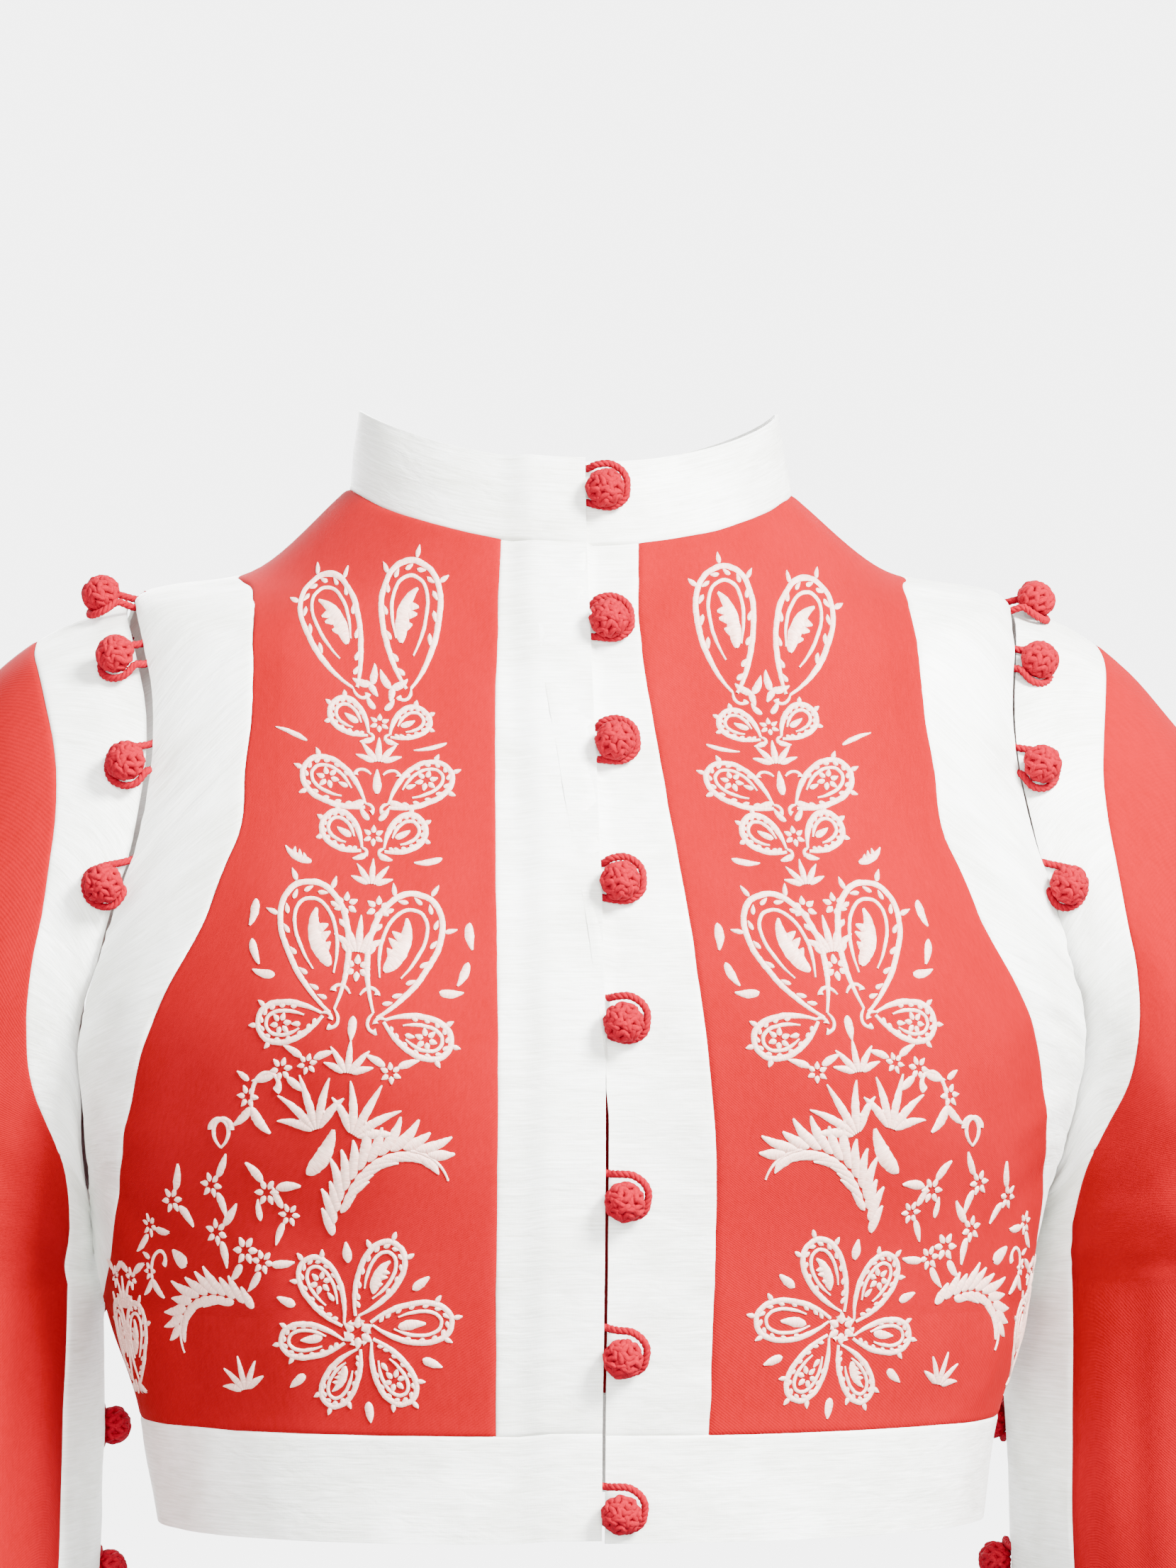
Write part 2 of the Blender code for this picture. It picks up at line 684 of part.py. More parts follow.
def smooth_sleeve_point(turn, level):
    """A point of the wearer's left sleeve without folds: level is 0 at the armhole, 2 at the wrist."""
    if level >= BICEP_LEVEL:
        return section_point(turn, (level - BICEP_LEVEL) * (len(SECTIONS) - 1))
    key = round(turn, 6)
    if key not in CAP_STARTS:
        CAP_STARTS[key] = cap_start(min(max(turn, 0.0), 1.0))
    start, leaving, cap = CAP_STARTS[key]
    keep = (1 + 2 * level) * (1 - level) ** 2
    point = start * keep + section_point(turn, 0.0) * (1 - keep)
    point += leaving * cap.reach * level * (1 - level) ** 2
    return point + Vector((0.0, 0.0, cap.drop)) * level**2 * (1 - level)


def sleeve_normal(turn, level):
    inside = min(max(level, 0.03), CUFF_LEVEL - 0.03)
    round_it = smooth_sleeve_point(turn + 0.01, inside) - smooth_sleeve_point(turn - 0.01, inside)
    down = smooth_sleeve_point(turn, inside + 0.02) - smooth_sleeve_point(turn, inside - 0.02)
    return down.cross(round_it).normalized()


def fold_height(turn, level):
    height = 0.0
    for fold in FOLDS:
        across = (turn - fold.turn) / fold.half_width
        along = (2 * level - fold.start - fold.end) / (fold.end - fold.start)
        if abs(along) < 1:
            height += fold.height * math.exp(-across * across) * (1 - along * along) ** 2
    return height


def sleeve_point(turn, level):
    return smooth_sleeve_point(turn, level) + sleeve_normal(turn, level) * fold_height(turn, level)


def sleeve_girth(level):
    section = read_table(SECTIONS, (max(level, BICEP_LEVEL) - BICEP_LEVEL) * (len(SECTIONS) - 1))
    return 2 * math.pi * math.sqrt((section.half_x**2 + section.half_y**2) / 2)


def slit_turn(level):
    return SLIT_GAP / 2 / sleeve_girth(level)


def seam_turn(part, level):
    """The turn of a column of the red sleeve, from its front seam at 0 to its back seam at 1."""
    margin = slit_turn(level) + SLIT_BAND_WIDTH / sleeve_girth(level)
    return margin + (1 - 2 * margin) * part


def cap_seam_level(part):
    """The level at which a column of the red sleeve starts, below the band round the cap."""
    from_slit_seam = (1 - abs(2 * part - 1)) / 2
    length = from_slit_seam * (sleeve_girth(BICEP_LEVEL) - 2 * SLIT_BAND_WIDTH)
    short = max(BAND_CORNER_RADIUS - length, 0.0)
    widening = (CAP_BAND_WIDTH - CAP_BAND_UNDERARM_WIDTH) * smoothstep(0.0, NARROW_PART, from_slit_seam)
    width = CAP_BAND_UNDERARM_WIDTH + widening
    width += BAND_CORNER_RADIUS - math.sqrt(BAND_CORNER_RADIUS**2 - short**2)
    level, length, step = 0.0, 0.0, 0.01
    last = smooth_sleeve_point(seam_turn(part, 0.0), 0.0)
    while length < width:
        level += step
        point = smooth_sleeve_point(seam_turn(part, level), level)
        length += (point - last).length
        last = point
    return level


def sleeve_columns():
    return spread(0.0, 1.0, 2 * CAP_COLUMNS)


def column_places(part):
    return [
        (seam_turn(part, level), level)
        for level in spread(cap_seam_level(part), CUFF_LEVEL, SLEEVE_ROWS)
    ]


def make_sleeve(name, side, look, collection):
    """The red part of a sleeve, from the cap band's seam to the wrist."""
    columns = [column_places(part) for part in sleeve_columns()]
    rows = [[sleeve_point(turn, level) for turn, level in row] for row in zip(*columns)]
    return cloth(name, [row[::-1] for row in rows], side, look, collection, SLEEVE_GAPS)


def sleeve_band_lines(back):
    """A sleeve band's free edge and its seam, from the shoulder round the cap and down the slit."""
    parts = sleeve_columns()[CORNER_COLUMN : CAP_COLUMNS + 1][::-1]
    if back:
        parts = [1 - part for part in parts]
    slit_side = 1.0 if back else 0.0
    last = len(parts) - 1
    tops = [cap_seam_level(part) for part in parts]
    seam = [(seam_turn(part, level), level) for part, level in zip(parts, tops)]
    down = column_places(slit_side)
    corner = abs(slit_side - slit_turn(0.0))
    edge = [(0.5 + (corner - 0.5) * step / last, 0.0) for step in range(last + 1)]
    edge += [(corner, down[0][1] / 2)]
    edge += [(abs(slit_side - slit_turn(level)), level) for _, level in down[1:]]
    return edge, seam + down


def make_sleeve_bands(sleeve, side, back, look, collection):
    """A sleeve's two edge bands on one side, round the cap and down the slit, sewn at the corner."""
    rows = []
    for (edge_turn, edge_level), (seam_place, seam_level) in zip(*sleeve_band_lines(back)):
        row = []
        for part in spread(0.0, 1.0, SLEEVE_BAND_COLUMNS):
            turn = edge_turn + (seam_place - edge_turn) * part
            level = edge_level + (seam_level - edge_level) * part
            if back:
                row.append(back_band_point(turn, level, part, edge_turn))
            else:
                row.append(sleeve_point(turn, level))
        rows.append(row if back else row[::-1])
    corner = CAP_COLUMNS - CORNER_COLUMN
    half = "back" if back else "front"
    cap_name, slit_name = f"sleeve_band_{sleeve}_{half}", f"slit_band_{sleeve}_{half}"
    cap = cloth(cap_name, rows[: corner + 1], side, look, collection, CAP_BAND_GAPS)
    slit = cloth(slit_name, rows[corner:], side, look, collection, SLIT_BAND_GAPS)
    return cap, slit


def back_band_point(turn, level, part, edge_turn):
    """A point of a sleeve's back band, which dips towards the slit so that the front band leads."""
    near_slit = smoothstep(DIP_START, DIP_FULL, edge_turn)
    recess = SLIT_RECESS * (1 - part) ** 2 * near_slit
    return sleeve_point(turn, level) - sleeve_normal(turn, level) * recess


def cord_loop(held):
    """The route of a loop's cord round a button's foot, from the edge that it is sewn to."""
    start = -held.reach + held.root_gap
    half = [(start, LOOP_SPREAD, held.root_lift)]
    half += [(start * 0.4, LOOP_SPREAD + LOOP_ROOT_BULGE, LOOP_LIFT)]
    half += [(step.away, step.aside, LOOP_LIFT) for step in LOOP_STEPS]
    far = (LOOP_FAR, 0.0, LOOP_LIFT)
    return half + [far] + [(x, -y, z) for x, y, z in reversed(half)]


def ball_mesh():
    mesh = bpy.data.meshes.new("ball")
    shape = bmesh.new()
    size = Matrix.Diagonal((BALL_RADIUS, BALL_RADIUS, BALL_HALF_HEIGHT, 1.0))
    place = Matrix.Translation((0.0, 0.0, BALL_HALF_HEIGHT)) @ size
    bmesh.ops.create_uvsphere(
        shape, u_segments=BALL_SEGMENTS, v_segments=BALL_RINGS, radius=1.0, matrix=place
    )
    shape.to_mesh(mesh)
    shape.free()
    return mesh


def loop_mesh(held, collection):
    """The cord loop as a mesh with welded caps."""
    curve = bpy.data.curves.new("loop_guide", "CURVE")
    curve.dimensions = "3D"
    curve.bevel_depth = CORD_RADIUS
    curve.bevel_resolution = CORD_RESOLUTION
    curve.use_fill_caps = True
    route = cord_loop(held)
    spline = curve.splines.new("POLY")
    spline.points.add(len(route) - 1)
    for point, (x, y, z) in zip(spline.points, route):
        lean = LOOP_RISE * (LOOP_FAR - x) / (held.reach + LOOP_FAR)
        point.co = (x, y + lean, z, 1.0)
    guide = bpy.data.objects.new("loop_guide", curve)
    collection.objects.link(guide)
    graph = bpy.context.evaluated_depsgraph_get()
    mesh = bpy.data.meshes.new_from_object(guide.evaluated_get(graph))
    shape = bmesh.new()
    shape.from_mesh(mesh)
    bmesh.ops.remove_doubles(shape, verts=shape.verts, dist=1e-6)
    bmesh.ops.recalc_face_normals(shape, faces=shape.faces)
    shape.to_mesh(mesh)
    shape.free()
    bpy.data.objects.remove(guide)
    return mesh


def button_mesh(name, held, look, collection):
    """A ball button joined to its cord loop, standing at its foot with the loop's root towards -X."""
    ball = bpy.data.objects.new("ball_guide", ball_mesh())
    loop = bpy.data.objects.new("loop_guide", loop_mesh(held, collection))
    for guide in (ball, loop):
        collection.objects.link(guide)
    join = ball.modifiers.new("join", "BOOLEAN")
    join.operation = "UNION"
    join.object = loop
    graph = bpy.context.evaluated_depsgraph_get()
    mesh = bpy.data.meshes.new_from_object(ball.evaluated_get(graph))
    mesh.name = name
    mesh.materials.clear()
    mesh.materials.append(look)
    mesh.shade_smooth()
    for guide in (ball, loop):
        bpy.data.objects.remove(guide)
    return mesh


def faces_of(thing):
    """A panel's finished wall, to measure on."""
    return BVHTree.FromObject(thing, bpy.context.evaluated_depsgraph_get())


def height_over(point, normal, wall, side):
    """How far a wall's outer face stands over a point along a direction, or far below if it misses."""
    flip = Matrix.Diagonal((side, 1, 1))
    start = flip @ (point + normal * SEAT_SEARCH)
    hit = wall.ray_cast(start, -(flip @ normal), 2 * SEAT_SEARCH)[0]
    return (flip @ hit - point).dot(normal) if hit else -SEAT_SEARCH


def place_button(name, side, root, surface, normal, wall, mesh, collection):
    """A button standing along its normal on a wall, with its loop from a root on the edge across."""
    across = surface - root
    across = (across - normal * across.dot(normal)).normalized()
    along = normal.cross(across)
    heights = [height_over(surface, normal, wall, side)]
    for step in SEAT_STEPS:
        for aside in (step.aside, -step.aside):
            place = surface + across * step.away + along * aside
            heights.append(height_over(place, normal, wall, side) - LOOP_LIFT + CORD_RADIUS)
    foot = surface + normal * (max(heights) + REST_GAP)
    turned = Matrix((across, along, normal)).transposed().to_4x4()
    thing = bpy.data.objects.new(name, mesh)
    thing.matrix_world = Matrix.Diagonal((side, 1, 1, 1)) @ Matrix.Translation(foot) @ turned
    collection.objects.link(thing)
    return thing


def make_front_buttons(pieces, look, collection):
    """The buttons up the centre front, on the collar, the under placket and the hem band."""
    walls = [faces_of(piece) for piece in pieces]
    mesh = button_mesh("front_button", FRONT_FASTENING, look, collection)
    seam_height = body_point(0.0, NECK_LEVEL).z
    for number, height in enumerate(FRONT_BUTTON_HEIGHTS, 1):
        on_collar = height > seam_height
        surface = collar_point if on_collar else body_point
        top = 1.0 if on_collar else float(NECK_LEVEL)
        level = bisect(lambda level: surface(0.0, level).z - height, 0.0, top)
        angle = angle_at_x(surface, FRONT_BUTTON_REACH, level)
        step = 0.02 if on_collar else 0.05
        inside = min(max(level, step), top - step)
        normal = normal_of(surface, angle, inside, 0.5, step)
        root = lifted(surface, 0.0, level)
        foot = surface(angle, level)
        name = f"front_button_{number}"
        on_hem = number == len(FRONT_BUTTON_HEIGHTS)
        wall = walls[0 if on_collar else 2 if on_hem else 1]
        place_button(name, 1, root, foot, normal, wall, mesh, collection)


def make_armhole_buttons(sleeve, side, bands, mesh, collection):
    """The buttons round a sleeve's cap, with their loops sewn to the armhole's edge."""
    walls = {half: faces_of(band) for half, band in bands.items()}
    for number, turn in enumerate(ARMHOLE_BUTTON_TURNS, 1):
        angle, edge_level = armhole_place(turn)
        root = body_point(angle, edge_level)
        level = bisect(
            lambda level: (sleeve_point(turn, level) - root).length - ARMHOLE_BUTTON_REACH, 0.0, 0.7
        )
        normal = (sleeve_normal(turn, level) + edge_normal(angle, edge_level)).normalized()
        wall = walls["front" if turn < 0.5 else "back"]
        name = f"armhole_button_{sleeve}_{number}"
        foot = sleeve_point(turn, level)
        place_button(name, side, root, foot, normal, wall, mesh, collection)


def make_slit_buttons(sleeve, side, band, mesh, collection):
    """The buttons down a sleeve's slit, on its back band, with their loops sewn to the front band."""
    wall = faces_of(band)
    for number, height in enumerate(SLIT_BUTTON_HEIGHTS, 1):
        rows = len(SECTIONS) - 1
        part = bisect(lambda part: height - section_point(0.0, part * rows).z, 0.0, 1.0)
        level = BICEP_LEVEL + part
        root = sleeve_point(slit_turn(level), level)
        turn = 1 - slit_turn(level) * (2 * SLIT_BUTTON_REACH / SLIT_GAP - 1)
        over = (SLIT_BUTTON_REACH - SLIT_GAP) / SLIT_BAND_WIDTH
        normal = sleeve_normal(turn, level)
        foot = back_band_point(turn, level, over, 1.0)
        name = f"slit_button_{sleeve}_{number}"
        place_button(name, side, root, foot, normal, wall, mesh, collection)


def build():
    clear_scene()
    scene = bpy.context.scene
    bolero = bpy.data.collections.new("bolero")
    scene.collection.children.link(bolero)
    red = material("red_crepe", RED, 0.62)
    cream = material("cream_silk", CREAM, 0.45)
    cord = material("red_cord", CORD_RED, 0.7)
    under_buttons = [make_collar(cream, bolero)]
    make_back(red, bolero)
    make_hem_back(cream, bolero)
    sides = (("right", -1, RIGHT_PLACKET_SEAM), ("left", 1, LEFT_PLACKET_SEAM))
    armhole_mesh = button_mesh("armhole_button", ARMHOLE_FASTENING, cord, bolero)
    slit_mesh = button_mesh("slit_button", SLIT_FASTENING, cord, bolero)
    for name, side, seam_rows in sides:
        make_front(f"front_{name}", side, seam_rows, red, bolero)
        placket = make_placket(f"placket_{name}", side, seam_rows, cream, bolero)
        hem_band = make_hem_front(f"hem_band_{name}", side, seam_rows, cream, bolero)
        cap_bands = {}
        halves = (("front", BAND_FRONT, EDGE_FRONT), ("back", BAND_BACK, EDGE_BACK))
        for half, inner, edge in halves:
            band_name = f"armhole_band_{name}_{half}"
            make_armhole_band(band_name, side, inner, edge, cream, bolero)
            bands = make_sleeve_bands(name, side, half == "back", cream, bolero)
            cap_bands[half], slit_band = bands
        make_sleeve(f"sleeve_{name}", side, red, bolero)
        make_armhole_buttons(name, side, cap_bands, armhole_mesh, bolero)
        make_slit_buttons(name, side, slit_band, slit_mesh, bolero)
    under_buttons += [placket, hem_band]
    make_front_buttons(under_buttons, cord, bolero)


build()
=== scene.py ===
"""The looks of the bolero: cloth shells on the CAD's form, embroidery, ball buttons and studio.

Units are metres and +Z is up. The wearer faces -Y, and +X is the wearer's left.
"""

import math
from collections import namedtuple

import bmesh
import bpy
import numpy as np
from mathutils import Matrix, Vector


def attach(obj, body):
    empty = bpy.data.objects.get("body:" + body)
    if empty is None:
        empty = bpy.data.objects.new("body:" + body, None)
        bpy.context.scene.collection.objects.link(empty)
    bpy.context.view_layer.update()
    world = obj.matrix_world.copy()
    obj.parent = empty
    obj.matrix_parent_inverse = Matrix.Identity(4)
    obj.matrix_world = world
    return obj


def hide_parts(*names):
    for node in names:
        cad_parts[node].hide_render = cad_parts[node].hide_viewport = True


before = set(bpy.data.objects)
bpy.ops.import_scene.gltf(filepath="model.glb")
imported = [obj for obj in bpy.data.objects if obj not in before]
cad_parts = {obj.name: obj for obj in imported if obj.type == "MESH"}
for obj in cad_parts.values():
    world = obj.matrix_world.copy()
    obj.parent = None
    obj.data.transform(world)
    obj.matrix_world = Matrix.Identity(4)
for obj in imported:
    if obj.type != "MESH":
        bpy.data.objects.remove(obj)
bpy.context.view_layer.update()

# Cloth
SHELL = 0.0012
RIM_BEVEL = 0.00042
SEAM_GAP = 0.00016
# How far in from a seam each extra line of points lies, in cells, and how far it sinks
EDGE_STEPS = (0.0, 0.10, 0.26, 0.55)
SEAM_SINK = (0.00105, 0.00052, 0.00014, 0.0)

# Centre front, where the right front lies over the left one
OVER_LIFT = 0.0023
OVER_TOWARDS = np.array((0.0, -0.89, 0.45))
OVER_FULL_WIDTH = 0.017
OVER_FADE_WIDTH = 0.027
EDGE_SLIVER = 0.0011

# Armholes and sleeves
CAP_GAP = 0.0048
CAP_RECESS = 0.0012
CAP_OUTWARD = 0.0008
SIDE_SEAM_ANGLE = 98.0
CAP_BAND_WIDTH = 0.033
CAP_BAND_UNDERARM_WIDTH = 0.022
NARROW_PART = 0.22
SLIT_BAND_WIDTH = 0.041
BAND_CORNER_RADIUS = 0.014
SLIT_GAP = 0.0034
SLIT_RECESS = 0.0022

# Ball buttons and their cord loops
BALL_RADIUS = 0.0065
BALL_HALF_HEIGHT = 0.0056

# Knotted ball: its core's depth below the surface, rows of stitches as latitude and number, and the
# uneven lean, length and width of a stitch
CORE_DEPTH, CORE_PLAY = 0.0013, 0.0005
STITCH_ROWS = ((-52, 6), (-20, 9), (12, 9), (42, 7), (70, 4))
STITCH_LEAN, LEAN_PLAY, LATITUDE_PLAY = 34, 14, 5
STITCH_LENGTH = (0.0040, 0.0050)
STITCH_WIDTH = (0.0019, 0.0023)
STITCH_DEPTH = 0.0009

# Cord: three strands wound round one route
CORD_RADIUS = 0.00125
CORD_PITCH = 0.0052
CORD_POINTS, ROUTE_SAMPLES = 64, 12
STRANDS = 3
STRAND_OFFSET, STRAND_RADIUS = 0.46, 0.60
ROOT_SPREAD = {"front": (0.0074, -0.0040), "armhole": (0.0046, -0.0046), "slit": (0.0046, -0.0046)}
ROOT_UNDER, ROOT_BEYOND = 0.0018, 0.0024
EDGE_UNDER, EDGE_OUTSIDE = 0.0011, 0.0007

# The body from hem to neck: reach to the side, front and back, height at the front, side and back,
# and how square its front and back halves are
RINGS = np.array([
    (0.1360, 0.103, 0.086, -0.339, -0.339, -0.339, 2.30, 2.1),
    (0.1410, 0.105, 0.088, -0.305, -0.305, -0.305, 2.30, 2.1),
    (0.1490, 0.109, 0.091, -0.277, -0.277, -0.277, 2.30, 2.1),
    (0.1550, 0.113, 0.094, -0.243, -0.243, -0.243, 2.30, 2.1),
    (0.1655, 0.115, 0.097, -0.208, -0.208, -0.208, 2.40, 2.1),
    (0.1730, 0.113, 0.099, -0.174, -0.174, -0.174, 2.55, 2.2),
    (0.1700, 0.104, 0.100, -0.138, -0.136, -0.136, 2.65, 2.3),
    (0.1610, 0.090, 0.098, -0.101, -0.095, -0.096, 2.60, 2.4),
    (0.1415, 0.074, 0.088, -0.066, -0.034, -0.056, 2.40, 2.3),
    (0.1080, 0.063, 0.073, -0.040, -0.028, -0.030, 2.20, 2.1),
    (0.0730, 0.055, 0.058, -0.021, 0.000, -0.015, 2.10, 2.0),
])
HEM_LEVEL, HEM_SEAM_LEVEL = 0, 1
SHOULDER_TIP_LEVEL, MID_SHOULDER_LEVEL, NECK_LEVEL = 8, 9, 10
HEIGHT_POWER = 1.5
TOP_EDGE_REACH = 5
BUST_X, BUST_Z, BUST_FORWARD = 0.072, -0.188, 0.009
BUST_HALF_WIDTH, BUST_HALF_HEIGHT = 0.040, 0.046

# The collar's rings in the same columns, from its seam to its top edge
COLLAR_RINGS = np.array([
    (0.0730, 0.0550, 0.058, -0.021, 0.0000, -0.015, 2.05, 2.05),
    (0.0712, 0.0520, 0.056, -0.008, 0.0125, -0.002, 2.05, 2.05),
    (0.0694, 0.0490, 0.054, 0.0065, 0.0265, 0.0125, 2.05, 2.05),
])

# The fronts' seams with the plackets: height, distance from the centre
RIGHT_PLACKET_SEAM = np.array([
    (-0.320, 0.0330), (-0.230, 0.0338), (-0.150, 0.0335),
    (-0.090, 0.0320), (-0.045, 0.0293), (0.000, 0.0260),
])
LEFT_PLACKET_SEAM = np.array([
    (-0.320, 0.0338), (-0.230, 0.0352), (-0.150, 0.0285),
    (-0.090, 0.0205), (-0.045, 0.0160), (0.000, 0.0185),
])
UNDER_PLACKET_WIDTH = 0.0330

# Side views (y, z) of the armhole edge and of its band's inner seam, from the underarm up
EDGE_FRONT = np.array([
    (0.014, -0.2380), (-0.006, -0.2345), (-0.027, -0.2220), (-0.042, -0.2040),
    (-0.051, -0.1840), (-0.057, -0.1680), (-0.062, -0.1500), (-0.063, -0.1260),
    (-0.0555, -0.0960), (-0.043, -0.0670), (-0.021, -0.0430), (0.000, -0.0340),
])
EDGE_BACK = np.array([
    (0.014, -0.2380), (0.027, -0.2310), (0.037, -0.2120), (0.044, -0.1870),
    (0.048, -0.1580), (0.049, -0.1290), (0.045, -0.1000), (0.035, -0.0710),
    (0.018, -0.0460), (0.000, -0.0340),
])
BAND_FRONT = np.array([
    (0.014, -0.2690), (-0.018, -0.2550), (-0.044, -0.2310), (-0.0635, -0.2090),
    (-0.075, -0.1875), (-0.0825, -0.1670), (-0.086, -0.1450), (-0.0825, -0.1200),
    (-0.073, -0.0940), (-0.0655, -0.0740), (-0.055, -0.0530), (-0.0413, -0.0399),
    (-0.0240, -0.0320), (0.000, -0.0280),
])
BAND_BACK = np.array([
    (0.014, -0.2690), (0.036, -0.2580), (0.054, -0.2360), (0.066, -0.2110),
    (0.0735, -0.1840), (0.077, -0.1550), (0.078, -0.1260), (0.0745, -0.0980),
    (0.066, -0.0720), (0.049, -0.0480), (0.026, -0.0330), (0.000, -0.0280),
])
# The two sides with their placket seams, and the two halves of an armhole with their lines
SIDES = (("right", -1, RIGHT_PLACKET_SEAM), ("left", 1, LEFT_PLACKET_SEAM))
HALVES = (("front", BAND_FRONT, EDGE_FRONT), ("back", BAND_BACK, EDGE_BACK))

# How the sleeve leaves the armhole: turn, out, forward, up, reach, drop
CAP = np.array([
    (0.000, 0.10, -0.30, -1.00, 0.014, 0.014),
    (0.080, 0.20, 0.05, -0.98, 0.025, 0.025),
    (0.140, 0.30, 0.10, -0.95, 0.042, 0.040),
    (0.180, 0.45, 0.15, -0.87, 0.055, 0.055),
    (0.230, 0.65, 0.22, -0.68, 0.075, 0.085),
    (0.290, 0.85, 0.25, -0.42, 0.105, 0.130),
    (0.350, 0.95, 0.22, -0.22, 0.140, 0.170),
    (0.430, 0.97, 0.10, -0.20, 0.190, 0.230),
    (0.500, 0.97, 0.00, -0.24, 0.225, 0.265),
    (0.570, 0.97, -0.10, -0.20, 0.190, 0.230),
    (0.650, 0.95, -0.25, -0.20, 0.140, 0.170),
    (0.750, 0.80, -0.30, -0.50, 0.090, 0.100),
    (0.840, 0.60, -0.30, -0.70, 0.055, 0.050),
    (0.920, 0.40, -0.30, -0.90, 0.030, 0.030),
    (1.000, 0.10, -0.30, -1.00, 0.014, 0.014),
])
UNDERARM_TURN, FREE_TURN = 0.10, 0.20
DIP_START, DIP_FULL = 0.88, 0.98

# The sleeve below the cap: height, centre x and y, half sizes in x and y
SECTIONS = np.array([
    (-0.262, 0.2065, 0.020, 0.0530, 0.0640),
    (-0.325, 0.2065, 0.022, 0.0525, 0.0620),
    (-0.390, 0.2080, 0.021, 0.0515, 0.0590),
    (-0.460, 0.2130, 0.016, 0.0490, 0.0540),
    (-0.530, 0.2200, 0.008, 0.0460, 0.0490),
    (-0.600, 0.2270, -0.003, 0.0420, 0.0440),
])
SECTION_LEAN = 0.40
BICEP_LEVEL, CUFF_LEVEL = 1.0, 2.0

# Soft folds of the sleeves: turn at the top and at the bottom, half width, height, where it runs
Fold = namedtuple("Fold", "turn turn_end half_width height start end")
SLEEVE_FOLDS = [Fold(*row) for row in (
    (0.270, 0.270, 0.050, -0.0043, 0.75, 1.55),
    (0.370, 0.370, 0.055, 0.0038, 0.70, 1.60),
    (0.640, 0.640, 0.060, -0.0035, 0.80, 1.50),
    (0.760, 0.760, 0.055, 0.0032, 0.75, 1.45),
    (0.300, 0.335, 0.020, -0.0022, 0.35, 1.25),
    (0.225, 0.250, 0.018, 0.0016, 0.55, 1.35),
    (0.170, 0.205, 0.017, -0.0017, 0.85, 1.50),
    (0.430, 0.410, 0.028, 0.0019, 0.55, 1.45),
    (0.520, 0.545, 0.030, -0.0017, 0.60, 1.60),
    (0.590, 0.575, 0.022, 0.0017, 0.95, 1.75),
    (0.700, 0.730, 0.020, -0.0020, 0.60, 1.40),
    (0.835, 0.810, 0.018, 0.0017, 0.90, 1.60),
    (0.120, 0.140, 0.016, 0.0014, 1.05, 1.70),
    (0.400, 0.380, 0.018, -0.0014, 1.20, 1.85),
    (0.480, 0.500, 0.016, 0.0013, 1.30, 1.90),
)]
# The first folds lie alike on both sleeves; the others are shifted on the right one
BROAD_FOLDS = 4
FOLD_SHIFT = 0.013
FOLD_WAVER = 0.006

# Soft creases of the body: where each starts and ends, as metres round from the centre front to
# the wearer's left and height, its half width and its height
Crease = namedtuple("Crease", "s0 z0 s1 z1 half_width height")
CREASES = [Crease(*row) for row in (
    (0.008, -0.036, 0.026, -0.026, 0.0022, 0.0010),
    (0.006, -0.046, 0.024, -0.036, 0.0030, -0.0007),
    (0.150, -0.200, 0.112, -0.214, 0.0060, 0.0011),
    (0.160, -0.222, 0.118, -0.240, 0.0070, -0.0010),
    (0.140, -0.170, 0.100, -0.176, 0.0065, 0.0008),
    (-0.152, -0.196, -0.116, -0.212, 0.0065, 0.0011),
    (-0.160, -0.225, -0.112, -0.248, 0.0075, -0.0011),
    (-0.140, -0.160, -0.104, -0.168, 0.0060, 0.0007),
    (0.090, -0.300, 0.102, -0.236, 0.0100, 0.0010),
    (0.056, -0.302, 0.060, -0.250, 0.0090, -0.0008),
    (-0.086, -0.300, -0.098, -0.232, 0.0110, 0.0010),
    (-0.130, -0.302, -0.136, -0.262, 0.0080, -0.0009),
    (0.134, -0.302, 0.128, -0.268, 0.0080, 0.0009),
    (0.200, -0.286, 0.240, -0.190, 0.0120, 0.0029),
    (0.230, -0.300, 0.262, -0.215, 0.0110, -0.0024),
    (0.268, -0.302, 0.300, -0.236, 0.0120, 0.0026),
    (0.330, -0.300, 0.336, -0.240, 0.0110, -0.0022),
    (0.372, -0.302, 0.362, -0.246, 0.0110, 0.0022),
    (0.420, -0.300, 0.398, -0.240, 0.0120, -0.0022),
    (-0.200, -0.282, -0.244, -0.196, 0.0120, 0.0027),
    (-0.236, -0.300, -0.266, -0.222, 0.0110, -0.0022),
    (-0.290, -0.302, -0.312, -0.228, 0.0120, 0.0024),
    (-0.350, -0.301, -0.348, -0.250, 0.0100, -0.0019),
    (0.262, -0.120, 0.330, -0.148, 0.0110, 0.0019),
    (0.256, -0.150, 0.320, -0.182, 0.0110, -0.0018),
    (-0.262, -0.116, -0.326, -0.140, 0.0110, 0.0019),
    (-0.258, -0.146, -0.318, -0.176, 0.0120, -0.0018),
    (0.300, -0.050, 0.392, -0.062, 0.0100, 0.0014),
)]
# How far a crease bows, by its length, and how the creases calm down at the centre front
CREASE_BEND = 0.10
CALM_CENTRE, CALM_EDGE, CALMED = 0.020, 0.045, 0.75

# Soft unevenness: height, size across, size along and seed of each layer of noise
BODY_NOISE = ((0.0012, 0.055, 0.075, 1), (0.0004, 0.018, 0.022, 2))
COLLAR_NOISE = ((0.0009, 0.05, 0.03, 41), (0.00034, 0.016, 0.012, 42))
SLEEVE_NOISE = ((0.0013, 0.12, 0.16, 50), (0.0003, 0.035, 0.07, 54))

